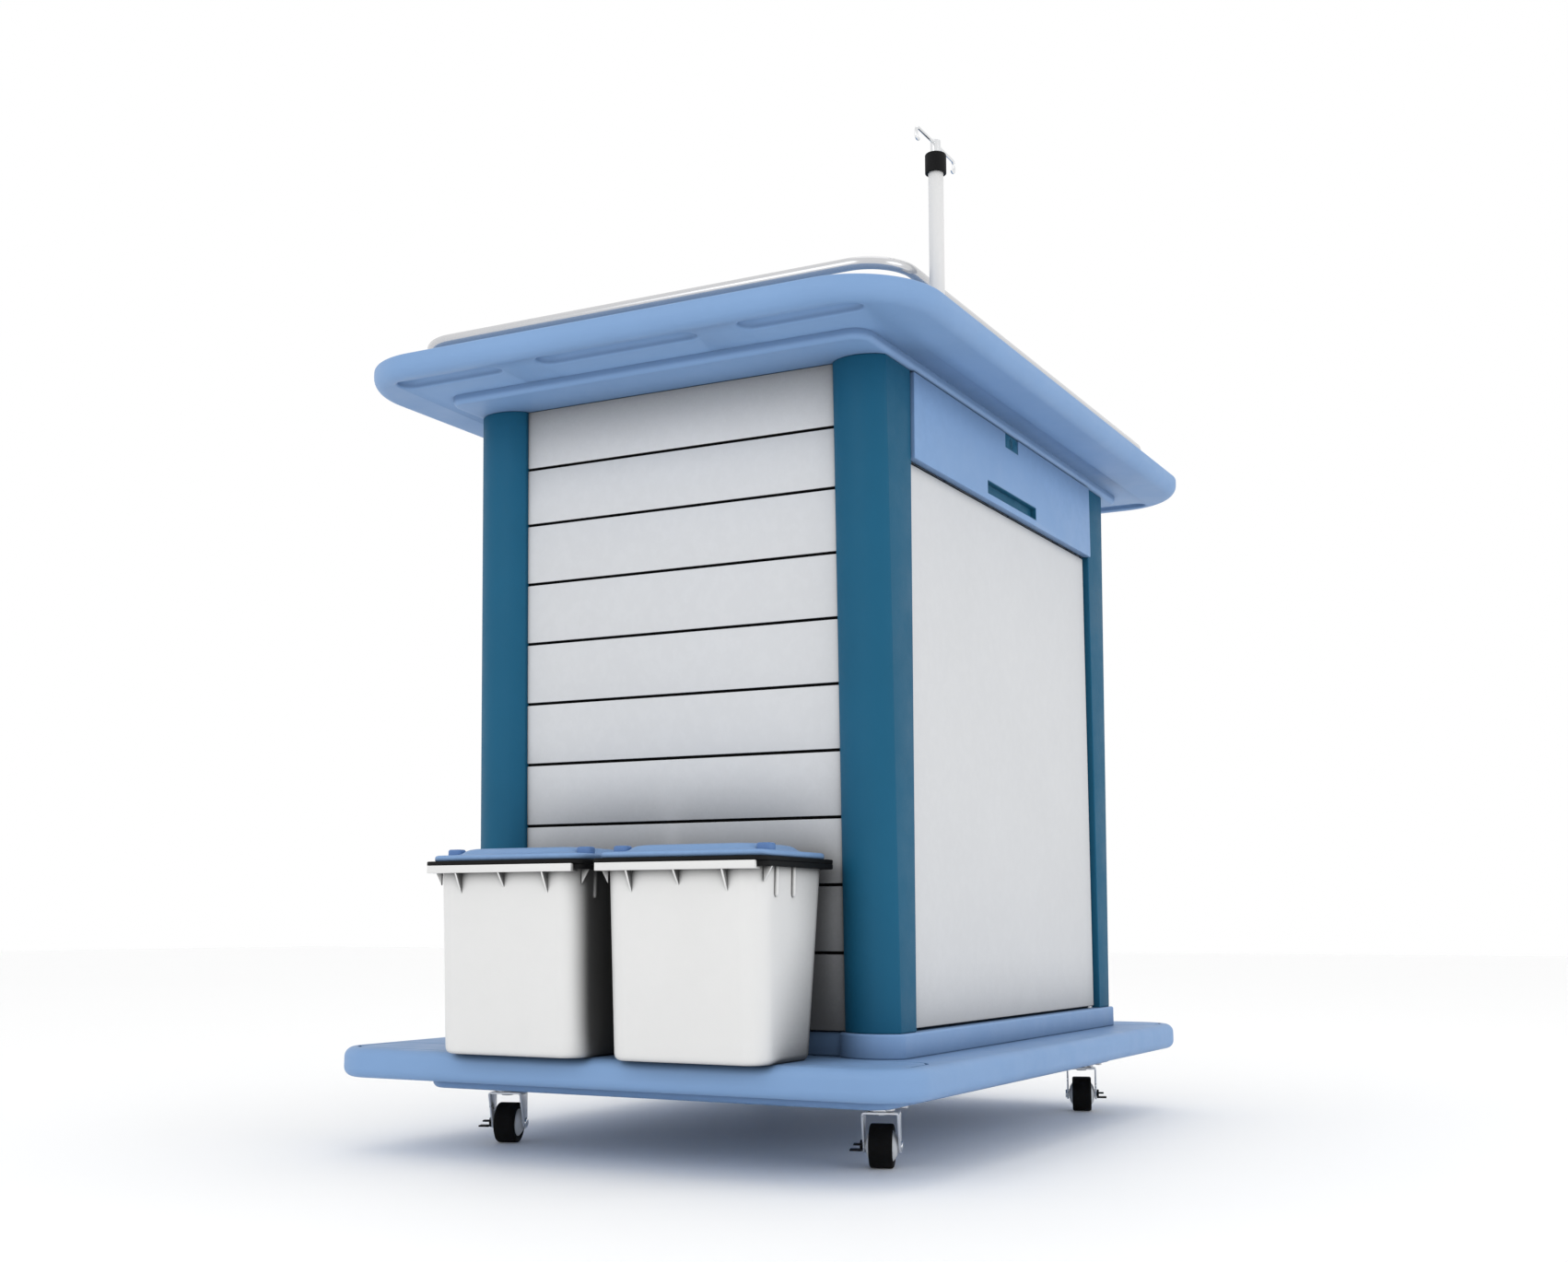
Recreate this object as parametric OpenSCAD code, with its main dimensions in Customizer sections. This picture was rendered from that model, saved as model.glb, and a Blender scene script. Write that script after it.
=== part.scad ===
// Medical treatment trolley: a cabinet on a wide castered platform, with a
// railed worktop, a drip pole, a lockable drawer, a door and two pull-off bins.
// Millimetres. X runs along the drawer side, Y runs from the drawer side to the
// back, Z is up, and the origin is on the floor at the middle of the footprint.

/* [Worktop] */
// Length of the worktop along X
top_l = 1164; // [1000:1:1300]
// Width of the worktop along Y
top_w = 798; // [700:1:900]
// Height of the worktop's upper face above the floor
top_z = 990; // [900:1:1050]
// Thickness of the worktop's rim
top_t = 28; // [24:1:36]
// Plan radius of the worktop's corners
top_r = 112; // [90:1:130]
// Rounding of the worktop's lower edge
top_round = 18; // [8:1:20]
// Depth of the finger grips under the two ends
grip_d = 9; // [6:1:12]

/* [Cabinet] */
// Opening between the corner pillars along X
bay_w = 672; // [560:1:720]
// Depth of the cabinet over the pillars' flat faces
cab_d = 596; // [480:1:620]
// Half length of the cabinet at the foot of the pillars
foot_x = 380; // [370:1:400]
// Outward lean of both ends, in degrees
flare = 2.02; // [0:0.01:3]
// Height of the drawer front
drawer_h = 109; // [90:1:140]
// Thickness of the door
door_t = 16; // [12:1:18]

/* [Platform] */
// Length of the platform along X
deck_l = 1034; // [950:1:1100]
// How far the platform's middle sits towards the bin end
deck_dx = 10; // [0:1:20]
// How much farther the platform reaches behind the cabinet than in front
deck_back = 25; // [0:1:40]
// Height of the platform's upper face
deck_z = 127; // [120:1:140]
// Thickness of the platform's rim
deck_t = 36; // [30:1:44]
// Plan radius of the platform's corners
deck_r = 60; // [40:1:90]

/* [Casters] */
// Diameter of the wheels
wheel_d = 50; // [48:1:52]
// Width of the tyres
tyre_w = 28; // [20:1:30]
// Distance between the swivel axes along X
caster_px = 714; // [640:1:720]
// Distance between the swivel axes along Y
caster_py = 532; // [460:1:560]
// Distance from the swivel axis to the axle
trail = 10; // [6:1:14]
// Angle at which the casters stand, in degrees
caster_turn = 19; // [0:1:30]

/* [Bins] */
// Distance between the middles of the two bins
bin_pitch = 239; // [236:1:250]
// Width of a bin's rim
bin_w = 225; // [200:1:230]
// Height of a bin's rim above the platform
bin_h = 225; // [180:1:260]

/* [Drip pole] */
// Diameter of the outer tube
pole_d = 18; // [16:1:20]
// Height of the outer tube's top above the worktop
pole_h = 174; // [150:1:260]
// Length of the hook bar
hook_l = 112; // [90:1:140]

/* [Gallery rail] */
// Diameter of the rail's tube
rail_d = 15; // [12:1:18]
// Height of the rail's middle above the worktop
rail_h = 43; // [36:1:60]

/* [Hidden] */
$fn = 48;
e = 0.01;

// shared heights and planes
cab_y = -deck_back / 2;
deck_y = deck_back / 2;
rim_z = top_z - top_t;
plinth_drop = 12;
cab_top = rim_z - plinth_drop;
step_h = 28;
foot_z = deck_z + step_h;
bay_x = bay_w / 2;
face_y = cab_d / 2;
pillar_w = 71;
pillar_bulge = 15;
pillar_arc = 50;
panel_y = face_y - pillar_w;
panel_set = 4;
panel_t = 16;
gap = 0.3;

// ---------- helpers ----------
// points along an arc of radius r about [x, y], from angle a to angle b
arc_n = 6;
function arc(x, y, r, a, b) = [for (i = [0:arc_n]) let (t = a + (b - a) * i / arc_n) [x + r * cos(t), y + r * sin(t)]];

// right half of a slab's slice: its edge is at x = h, rounded low and high
function half_edge(h, t, low, high) = concat(arc(h - low, low, low, -90, 0), arc(h - high, t - high, high, 0, 90));

// slice of a slab: w wide, t thick, with its lower and upper corners rounded
module edge_section(w, t, low, high) {
  right = half_edge(w / 2, t, low, high);
  n = len(right) - 1;
  polygon(concat(right, [for (i = [n:-1:0]) [-right[i].x, right[i].y]]));
}

// slab l by w by t standing on z = 0, plan corners r, edges rounded low and high
module round_slab(l, w, t, r, low, high) {
  rotate([90, 0, 90]) translate([0, 0, -l / 2 + r])
    linear_extrude(l - 2 * r) edge_section(w, t, low, high);
  rotate([90, 0, 0]) translate([0, 0, -w / 2 + r])
    linear_extrude(w - 2 * r) edge_section(l, t, low, high);
  for (x = [-1, 1], y = [-1, 1])
    translate([x * (l / 2 - r), y * (w / 2 - r), 0])
      rotate_extrude() polygon(concat([[0, 0]], half_edge(r, t, low, high), [[0, t]]));
}

// flat plate with plan corners r
module plate(l, w, t, r) {
  linear_extrude(t) plate_plan(l, w, r);
}

module plate_plan(l, w, r) {
  square([l - 2 * r, w], center = true);
  square([l, w - 2 * r], center = true);
  for (x = [-1, 1], y = [-1, 1])
    translate([x * (l / 2 - r), y * (w / 2 - r)]) circle(r = r);
}

// slot with round ends, l long along Y and w wide
module stadium(l, w) {
  square([w, l - w], center = true);
  for (s = [-1, 1]) translate([0, s * (l - w) / 2]) circle(d = w);
}

module box(x0, x1, y0, y1, z0, z1) {
  translate([min(x0, x1), min(y0, y1), min(z0, z1)])
    cube([abs(x1 - x0), abs(y1 - y0), abs(z1 - z0)]);
}

module at_cabinet() translate([0, cab_y, 0]) children();

// frame of the leaning end on side s: x points outwards, z up the lean
module lean(s) {
  translate([s * foot_x, 0, foot_z]) rotate([0, s * flare, 0])
    mirror([s < 0 ? 1 : 0, 0, 0]) children();
}

// ---------- platform ----------
under_l = 831;
// middle of the four casters
caster_cx = 12;
caster_cy = -2;
under_w = 648;
under_t = 18;
under_z = deck_z - deck_t - under_t;
frame_t = 25;
skin = 8;

// plan of a pillar's foot, grown outwards by g
module foot_plan(g) {
  translate([bay_x - g, panel_y]) square([foot_x - bay_x + g, pillar_w + g]);
  intersection() {
    translate([foot_x + pillar_bulge - pillar_arc, panel_y + pillar_w / 2])
      circle(r = pillar_arc + g);
    translate([bay_x, panel_y - g]) square([foot_x - bay_x + pillar_bulge + 2 * g, pillar_w + 2 * g]);
  }
}

module step_plan() {
  square([2 * (foot_x - 8), 2 * (face_y + 6)], center = true);
  for (x = [0, 1], y = [0, 1]) mirror([x, 0]) mirror([0, y]) foot_plan(6);
}

groove_in = 20;
groove_back = 28;
groove_w = 4;
groove_d = 2.5;

module deck() color("cornflowerblue") {
  difference() {
    union() {
      translate([-deck_dx, deck_y, deck_z - deck_t])
        round_slab(deck_l, top_w, deck_t, deck_r, 12, 12);
      at_cabinet() translate([0, 0, deck_z - 1]) linear_extrude(step_h + 1) step_plan();
    }
    // drip channel round each end platform
    for (s = [-1, 1]) end_channel(s);
    // hollow for the base frame, closed from below by the lower plate
    translate([-deck_dx, deck_y, deck_z - deck_t - e]) plate(814, 624, frame_t + 2, 10);
    at_cabinet() translate([0, 0, deck_z - 12]) plate(690, 540, 12 + step_h - skin, 20);
    // seat of the door's lower pivot
    at_cabinet() translate([door_px, -door_py, foot_z - 8 + e]) cylinder(r = pivot_r, h = 8);
  }
}

module end_channel(s) {
  l = deck_l / 2 - foot_x - groove_in - groove_back - s * deck_dx;
  w = top_w - 2 * groove_in;
  cx = s * (foot_x + groove_back + l / 2);
  translate([cx, deck_y, deck_z - groove_d]) linear_extrude(groove_d + e) difference() {
    plate_plan(l, w, 30);
    plate_plan(l - 2 * groove_w, w - 2 * groove_w, 30 - groove_w);
  }
}

module under_plate() color("cornflowerblue") {
  difference() {
    translate([-deck_dx, deck_y, under_z]) round_slab(under_l, under_w, under_t, 30, 8, 1);
    at_casters() plate_bolts(under_z - e, under_t + 2 * e, bolt_r);
  }
}

module base_frame() color("silver") translate([caster_cx, caster_cy, 0]) {
  z0 = deck_z - deck_t;
  rail = 50;
  difference() {
    union() {
      for (s = [-1, 1]) {
        translate([0, s * caster_py / 2, z0 + frame_t / 2])
          cube([caster_px + rail, rail, frame_t], center = true);
        translate([s * caster_px / 2, 0, z0 + frame_t / 2])
          cube([rail, caster_py + rail - 2 * e, frame_t], center = true);
      }
      translate([0, 0, z0 + frame_t / 2]) cube([rail, caster_py, frame_t], center = true);
    }
    translate([-caster_cx, -caster_cy, 0]) at_casters() plate_bolts(z0 - e, frame_t - 3, bolt_r);
    for (s = [-1, 1]) translate([0, s * caster_py / 2, z0 + frame_t / 2])
      cube([caster_px - rail - 6, rail - 6, frame_t - 6], center = true);
  }
}

// ---------- cabinet ----------
// plan of a pillar in its leaning frame, set in by g all round
module pillar_section(g) {
  translate([-90, panel_y + g]) square([90 - g, pillar_w - 2 * g]);
  intersection() {
    translate([pillar_bulge - pillar_arc, panel_y + pillar_w / 2]) circle(r = pillar_arc - g);
    translate([-90, panel_y + g]) square([90 + pillar_bulge, pillar_w - 2 * g]);
  }
}

// pillar on side sx, at the back when sy is 1
module pillar(sx, sy) {
  wall = 4;
  at_cabinet() mirror([0, sy < 0 ? 1 : 0, 0]) difference() {
    intersection() {
      lean(sx) translate([0, 0, -30]) linear_extrude(900) pillar_section(0);
      box(sx * bay_x, sx * (foot_x + 80), 0, face_y + 1, foot_z, cab_top);
    }
    intersection() {
      lean(sx) translate([0, 0, -30]) linear_extrude(900) pillar_section(wall);
      box(sx * (bay_x + wall), sx * (foot_x + 80), 0, face_y + 1, foot_z - 1, cab_top + 1);
    }
  }
}

module pillar_front_left() color("teal") pillar(-1, -1);
module pillar_front_right() color("teal") pillar(1, -1);
module pillar_back_left() color("teal") pillar(-1, 1);
module pillar_back_right() color("teal") pillar(1, 1);

// heights of the nine grooves in an end panel
groove_pitch = 78.8;
groove_low = 90;
top_groove = 716.6;
groove_zs = concat([for (i = [0:7]) groove_low + i * groove_pitch], [top_groove]);
slit = 3.5;
slit_d = 6;

module end_panel(s) {
  at_cabinet() intersection() {
    lean(s) difference() {
      box(-panel_set - panel_t, -panel_set, -panel_y, panel_y, -30, 850);
      for (z = groove_zs)
        box(-panel_set - slit_d, -panel_set + 1, -panel_y - 1, panel_y + 1,
            z - slit / 2, z + slit / 2);
    }
    box(s * bay_x, s * (foot_x + 80), -face_y, face_y, foot_z, cab_top);
  }
}

module end_panel_left() color("white") end_panel(-1);
module end_panel_right() color("white") end_panel(1);

module groove_liners() color("black") at_cabinet() for (s = [-1, 1]) lean(s)
  for (z = groove_zs)
    box(-panel_set - slit_d, -panel_set - slit_d + 3, -panel_y, panel_y,
        z - slit / 2, z + slit / 2);

liner_t = 6;
module side_liners() color("lightgray") at_cabinet() for (s = [-1, 1])
  box(s * bay_x, s * (bay_x + liner_t), -panel_y, panel_y, foot_z, cab_top);

module shelf_pins() color("silver") at_cabinet() for (s = [-1, 1], y = [-panel_y + 40, panel_y - 60])
  translate([s * bay_x, y, shelf_z - 5]) rotate([0, -s * 90, 0]) cylinder(r = 2.5, h = 10);

back_t = 6;
module back_panel() color("white") at_cabinet()
  box(-bay_x, bay_x, face_y - 7 - back_t, face_y - 7, foot_z, cab_top);

// the cross rail between drawer and door, and the drawer lock's keeper
front_z = cab_top - 2 - drawer_h;
mid_z = front_z - 1;
mid_h = 8;
frame_y = face_y - 8.5;
module front_frame() color("silver") at_cabinet() {
  difference() {
    box(-bay_x, bay_x, -frame_y, -frame_y + 24, mid_z, mid_z + mid_h);
    translate([door_px, -door_py, mid_z - e]) cylinder(r = pivot_r, h = mid_h + 2 * e);
  }
  box(-bay_x, bay_x, -frame_y + 22, -frame_y + 24, mid_z - 12, mid_z + e);
  box(-5, 5, -keeper_y, -keeper_y + 2, lock_z + barrel_r + 0.5, cab_top);
  box(-5, 5, -keeper_y, -keeper_y + 18, cab_top - 0.8, cab_top);
}

shelf_z = 480;
module shelf() color("lightgray") at_cabinet()
  box(-bay_x + 1.5, bay_x - 1.5, -face_y + 40, face_y - 8 - back_t, shelf_z - 2.5, shelf_z + 15.5);

// ---------- worktop ----------
plinth_l = 960;
plinth_w = 608;
grip_x = top_l / 2 - 42;
grip_w = 30;
module worktop() color("cornflowerblue") at_cabinet() difference() {
  union() {
    translate([0, 0, rim_z]) round_slab(top_l, top_w, top_t, top_r, top_round, 4);
    translate([0, 0, cab_top]) round_slab(plinth_l, plinth_w, plinth_drop + 4, 24, 7, 1);
  }
  for (s = [-1, 1], g = [[0, 225], [-251, 158], [251, 158]])
    translate([s * grip_x, g[0], rim_z - e]) linear_extrude(grip_d) stadium(g[1], grip_w);
  translate([pole_x, pole_y, top_z - spigot_h]) cylinder(r = spigot_r, h = spigot_h + 1);
  translate([pole_x, pole_y, top_z - seat_d]) cylinder(r = foot_r, h = seat_d + 1);
  at_posts() translate([0, 0, -seat_d]) cylinder(r = post_flange_r, h = seat_d + 1);
  translate([0, 0, cab_top - e]) plate(620, 520, 24, 20);
}

rail_x = 494;
rail_y = 347;
rail_r = 57;
module gallery_rail() color("white") at_cabinet() translate([0, 0, top_z + rail_h]) {
  for (s = [-1, 1]) {
    translate([-rail_x + rail_r, s * rail_y, 0]) rotate([0, 90, 0])
      cylinder(d = rail_d, h = 2 * (rail_x - rail_r));
    translate([s * rail_x, rail_y - rail_r, 0]) rotate([90, 0, 0])
      cylinder(d = rail_d, h = 2 * (rail_y - rail_r));
  }
  for (a = [0:3]) let (x = (a == 0 || a == 3) ? 1 : -1, y = a < 2 ? 1 : -1)
    translate([x * (rail_x - rail_r), y * (rail_y - rail_r), 0]) rotate([0, 0, a * 90])
      rotate_extrude(angle = 90) translate([rail_r, 0]) circle(d = rail_d);
}

// depth of the seats sunk in the worktop for the posts and the pole's foot
seat_d = 1;
post_flange_r = 11;

module at_posts()
  for (x = [-330, 0, 330], s = [-1, 1]) translate([x, s * rail_y, top_z]) children();

module rail_posts() color("white") at_cabinet() at_posts() {
  difference() {
    cylinder(r = 5, h = rail_h);
    translate([-20, 0, rail_h]) rotate([0, 90, 0]) cylinder(d = rail_d, h = 40);
  }
  translate([0, 0, -seat_d]) cylinder(r = post_flange_r, h = 4 + seat_d);
}

// ---------- drip pole ----------
pole_x = -428;
pole_y = -374;
spigot_h = 22;
spigot_r = 12;
foot_h = 5;
foot_r = 18;
pole_r = pole_d / 2;
bore_r = pole_r - 1.2;
rod_r = 6.2;
pole_top = top_z + pole_h;
collar_z = pole_top - 11.4;
collar_h = 24.7;
rod_top = pole_top + 22;
rod_z = top_z + 12;

module at_pole() translate([pole_x, cab_y + pole_y, 0]) children();

module pole_foot() color("silver") at_pole() difference() {
  union() {
    translate([0, 0, top_z - spigot_h]) cylinder(r = spigot_r, h = spigot_h);
    translate([0, 0, top_z - seat_d]) cylinder(r = foot_r, h = foot_h + seat_d);
  }
  translate([0, 0, top_z - spigot_h + 2]) cylinder(r = pole_r, h = spigot_h + foot_h);
}

module pole_tube() color("white") at_pole() difference() {
  translate([0, 0, top_z - spigot_h + 2]) cylinder(r = pole_r, h = pole_top - top_z + spigot_h - 2);
  translate([0, 0, top_z - spigot_h + 1]) cylinder(r = bore_r, h = pole_h + spigot_h + 2);
}

module pole_collar() color("black") at_pole() translate([0, 0, collar_z]) difference() {
  union() {
    translate([0, 0, 1.5]) cylinder(r = 12.6, h = collar_h - 3);
    cylinder(r = 11.9, h = collar_h);
  }
  translate([0, 0, -e]) cylinder(r = pole_r + 0.05, h = pole_top - collar_z + gap);
  cylinder(r = rod_r + 0.05, h = collar_h + 1);
}

module pole_inner() color("silver") at_pole() {
  translate([0, 0, rod_z]) cylinder(r = rod_r, h = rod_top - rod_z);
  translate([0, 0, rod_z]) cylinder(r = bore_r - 0.05, h = 10);
}

hook_r = 2;
curl_r = 6;
hook_z = rod_top + 4;
tip_r = 3.5;
drop = 5;
module hook_head() color("silver") at_pole() {
  translate([0, 0, rod_top]) cylinder(r = rod_r, h = 8);
  translate([0, 0, rod_top + 8]) cylinder(r1 = rod_r, r2 = rod_r - 1, h = 1);
  translate([-hook_l / 2 + curl_r, 0, hook_z]) rotate([0, 90, 0])
    cylinder(r = hook_r, h = hook_l - 2 * curl_r);
  for (m = [0, 1]) mirror([m, 0, 0]) translate([hook_l / 2 - curl_r, 0, hook_z - curl_r])
    rotate([90, 0, 0]) {
      rotate_extrude(angle = 90) translate([curl_r, 0]) circle(r = hook_r);
      translate([curl_r - tip_r, -drop, 0]) rotate([0, 0, -180]) rotate_extrude(angle = 180)
        translate([tip_r, 0]) circle(r = hook_r);
      translate([curl_r, -drop, 0]) rotate([-90, 0, 0]) cylinder(r = hook_r, h = drop);
    }
}

// ---------- drawer ----------
front_proud = 4.5;
front_t = 12;
front_y = face_y + front_proud;
tray_x = bay_x - 13;
tray_l = 480;
tray_z = front_z + 9;
tray_h = 64;
tray_t = 4;
pull_w = 187;
pull_h = 18;
pull_z = front_z + 18;
pull_d = 10;
lock_w = 50;
lock_h = 20;
lock_z = cab_top - 2 - lock_h / 2;
barrel_r = 7;
cam_l = 10.2;
cam_y = front_y - front_t - 4;
keeper_y = front_y - front_t - 0.8;

module drawer_front() color("cornflowerblue") at_cabinet() difference() {
  box(-door_x, door_x, -front_y, -front_y + front_t, front_z, front_z + drawer_h);
  box(-pull_w / 2, pull_w / 2, -front_y - 1, -front_y + pull_d,
      pull_z - pull_h / 2, pull_z + pull_h / 2);
  box(-lock_w / 2, lock_w / 2, -front_y - 1, -front_y + 4,
      lock_z - lock_h / 2, lock_z + lock_h / 2);
  translate([0, -front_y - 1, lock_z]) rotate([-90, 0, 0]) cylinder(r = barrel_r + 0.05, h = front_t + 2);
}

module drawer_pull() color("teal") at_cabinet() difference() {
  box(-pull_w / 2, pull_w / 2, -front_y + 0.5, -front_y + pull_d,
      pull_z - pull_h / 2, pull_z + pull_h / 2);
  box(-pull_w / 2 + 1.5, pull_w / 2 - 1.5, -front_y, -front_y + pull_d - 1.5,
      pull_z - pull_h / 2 + 1.5, pull_z + pull_h / 2 - 1.5);
}

module lock_plate() color("teal") at_cabinet() difference() {
  box(-lock_w / 2, lock_w / 2, -front_y + 2, -front_y + 4, lock_z - lock_h / 2, lock_z + lock_h / 2);
  translate([0, -front_y - 1, lock_z]) rotate([-90, 0, 0]) cylinder(r = barrel_r + 0.05, h = front_t);
}

module lock_barrel() color("teal") at_cabinet() {
  difference() {
    translate([0, -front_y + 1, lock_z]) rotate([-90, 0, 0]) cylinder(r = barrel_r, h = front_y - cam_y - 1);
    box(-0.8, 0.8, -front_y, -front_y + 4, lock_z - 4, lock_z + 4);
  }
  translate([0, -cam_y, lock_z]) rotate([-90, 0, 0]) linear_extrude(2.5) {
    circle(r = barrel_r);
    translate([-cam_l, -4]) square([cam_l, 8]);
  }
}

module drawer_tray() color("lightgray") at_cabinet() {
  y0 = -front_y + front_t;
  difference() {
    box(-tray_x, tray_x, y0, y0 + tray_l, tray_z, tray_z + tray_h);
    box(-tray_x + tray_t, tray_x - tray_t, y0 + tray_t, y0 + tray_l - tray_t,
        tray_z + tray_t, tray_z + tray_h + 1);
  }
  // inner runner members
  for (s = [-1, 1]) {
    box(s * tray_x, s * (tray_x + 1.2), y0 + 4, y0 + 4 + run_l, run_z - 11, run_z + 11);
    for (t = [-1, 1]) box(s * (tray_x + 1.2), s * (tray_x + 6), y0 + 4, y0 + 4 + run_l,
                          run_z + t * 11, run_z + t * 9.8);
  }
}

run_l = 460;
run_z = tray_z + 30;
module runner_outer() color("silver") at_cabinet() for (s = [-1, 1]) {
  y0 = -front_y + front_t + 4;
  box(s * (bay_x - 1.2), s * bay_x, y0, y0 + run_l, run_z - 20, run_z + 20);
  for (t = [-1, 1]) box(s * (bay_x - 6), s * (bay_x - 1.2), y0, y0 + run_l,
                        run_z + t * 20, run_z + t * 18.8);
}

module runner_middle() color("gray") at_cabinet() for (s = [-1, 1]) {
  y0 = -front_y + front_t + 4;
  box(s * (bay_x - 4.6), s * (bay_x - 3.4), y0, y0 + run_l, run_z - 18.4, run_z + 18.4);
  for (t = [-1, 1]) box(s * (bay_x - 10), s * (bay_x - 4.6), y0, y0 + run_l,
                        run_z + t * 14, run_z + t * 12.8);
}

// ---------- door ----------
door_x = bay_x - 1.5;
door_set = 7;
door_py = face_y - door_set - door_t / 2;
door_px = door_x - door_t / 2;
pivot_r = 3.5;
door_z0 = foot_z + 3;
door_z1 = mid_z - 2;
module door_panel() color("white") at_cabinet() difference() {
  union() {
    box(-door_x, door_px, -door_py - door_t / 2, -door_py + door_t / 2, door_z0, door_z1);
    translate([door_px, -door_py, door_z0]) cylinder(d = door_t, h = door_z1 - door_z0);
  }
  for (z = [door_z0 - 1, door_z1 - 16])
    translate([door_px, -door_py, z]) cylinder(r = pivot_r + 0.05, h = 17);
}

module door_strike() color("silver") at_cabinet()
  box(-door_x + 20, -door_x + 50, -door_py + door_t / 2, -door_py + door_t / 2 + 1.5,
      door_z1 - 26, door_z1 - 10);

module door_magnet() color("dimgray") at_cabinet()
  box(-door_x + 20, -door_x + 50, -door_py + door_t / 2 + 2, -frame_y + 22,
      mid_z - 24, mid_z);

module door_pins() color("silver") at_cabinet() {
  translate([door_px, -door_py, foot_z - 8]) cylinder(r = pivot_r, h = 8 + 3 + 14);
  translate([door_px, -door_py, foot_z]) cylinder(r = 6, h = 2.5);
  translate([door_px, -door_py, door_z1 - 14]) cylinder(r = pivot_r, h = mid_z + mid_h - door_z1 + 14);
}

// ---------- casters ----------
cup_r = 17;
cup_h = 5.5;
plate_t = 2.5;
plate_s = 54;
bolt_p = 40;
bolt_r = 3;
axle_r = 4;
axle_z = wheel_d / 2;
fork_top = under_z - plate_t - cup_h - gap;
king_r = 5;
leg_in = 19.5;
leg_t = 2.5;

module at_casters() for (x = [-1, 1], y = [-1, 1])
  translate([caster_cx + x * caster_px / 2, caster_cy + y * caster_py / 2, 0]) children();

module at_caster(x, y) translate([caster_cx + x * caster_px / 2, caster_cy + y * caster_py / 2, 0])
  rotate([0, 0, caster_turn]) children();

module plate_bolts(z, h, r) for (x = [-1, 1], y = [-1, 1])
  translate([x * bolt_p / 2, y * bolt_p / 2, z]) cylinder(r = r, h = h);

module caster_plates() color("silver") at_casters() difference() {
  union() {
    translate([0, 0, under_z - plate_t]) plate(plate_s, plate_s, plate_t, 5);
    translate([0, 0, under_z - plate_t - cup_h]) cylinder(r = cup_r, h = cup_h);
  }
  plate_bolts(under_z - plate_t - e, plate_t + 2 * e, bolt_r);
  translate([0, 0, under_z - plate_t - cup_h - e]) cylinder(r = king_r + 0.05, h = cup_h);
}

module caster_bolts() color("silver") at_casters() {
  plate_bolts(under_z - plate_t, plate_t + under_t + 18, bolt_r);
  plate_bolts(under_z - plate_t - 3, 3, 5);
}

module fork(x, y) color("silver") at_caster(x, y) {
  difference() {
    union() {
      box(-14, trail + 6, -leg_in - leg_t, leg_in + leg_t, fork_top - leg_t, fork_top);
      for (s = [-1, 1]) translate([0, s > 0 ? leg_in + leg_t : -leg_in, 0])
        rotate([90, 0, 0]) linear_extrude(leg_t) {
          polygon([[-14, fork_top], [trail + 6, fork_top], [trail + 8, axle_z], [trail - 8, axle_z]]);
          translate([trail, axle_z]) circle(r = 8);
        }
    }
    translate([trail, 40, axle_z]) rotate([90, 0, 0]) cylinder(r = axle_r, h = 80);
  }
  translate([0, 0, fork_top - leg_t]) cylinder(r = king_r, h = leg_t + gap + cup_h - 0.5);
  translate([trail, leg_in + leg_t + 1.5, axle_z]) rotate([90, 0, 0])
    cylinder(r = axle_r, h = 2 * (leg_in + leg_t) + 3);
  // axle head, on the leg away from the brake
  mirror([0, x > 0 ? 1 : 0, 0]) translate([trail, -leg_in - leg_t, axle_z]) rotate([90, 0, 0])
    cylinder(r = 6, h = 1.5);
}

module tyre(x, y) color("black") at_caster(x, y) translate([trail, 0, axle_z]) rotate([90, 0, 0])
  rotate_extrude() difference() {
    translate([hub_r, 0]) tyre_section();
  }

hub_r = 17;
module tyre_section() {
  t = wheel_d / 2 - hub_r;
  translate([0, -tyre_w / 2]) square([t - 2.5, tyre_w]);
  translate([0, -tyre_w / 2 + 2.5]) square([t, tyre_w - 5]);
  for (s = [-1, 1]) translate([t - 2.5, s * (tyre_w / 2 - 2.5)]) circle(r = 2.5);
}

module hub(x, y) color("gainsboro") at_caster(x, y) translate([trail, 0, axle_z]) rotate([90, 0, 0])
  difference() {
    union() {
      cylinder(r = hub_r, h = tyre_w - 2, center = true);
      for (m = [0, 1]) mirror([0, 0, m]) translate([0, 0, tyre_w / 2 - 1.5 - e])
        cylinder(r1 = hub_r - 1, r2 = 9, h = 5.5);
      cylinder(r = 7, h = 2 * leg_in - 1, center = true);
    }
    cylinder(r = axle_r + 0.05, h = 60, center = true);
  }

// brake toggle: turns on the axle's end
brake_w = 14;
module brake(x, y) color("black") at_caster(x, y) translate([trail, 0, axle_z])
  mirror([0, x > 0 ? 1 : 0, 0]) translate([0, leg_in + leg_t + gap, 0])
  rotate([-90, 0, 0]) difference() {
    union() {
      cylinder(r = 6.5, h = 3);
      box(-15, 3, 3, 5, 0, brake_w);
      box(-11, 3, -3, -1, 0, brake_w - 4);
    }
    translate([0, 0, -1]) cylinder(r = axle_r + 0.05, h = brake_w + 2);
  }

module fork_front_left() fork(-1, -1);
module fork_front_right() fork(1, -1);
module fork_back_left() fork(-1, 1);
module fork_back_right() fork(1, 1);
module tyre_front_left() tyre(-1, -1);
module tyre_front_right() tyre(1, -1);
module tyre_back_left() tyre(-1, 1);
module tyre_back_right() tyre(1, 1);
module hub_front_left() hub(-1, -1);
module hub_front_right() hub(1, -1);
module hub_back_left() hub(-1, 1);
module hub_back_right() hub(1, 1);
module brake_front_left() brake(-1, -1);
module brake_front_right() brake(1, -1);
module brake_back_left() brake(-1, 1);
module brake_back_right() brake(1, 1);

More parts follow.
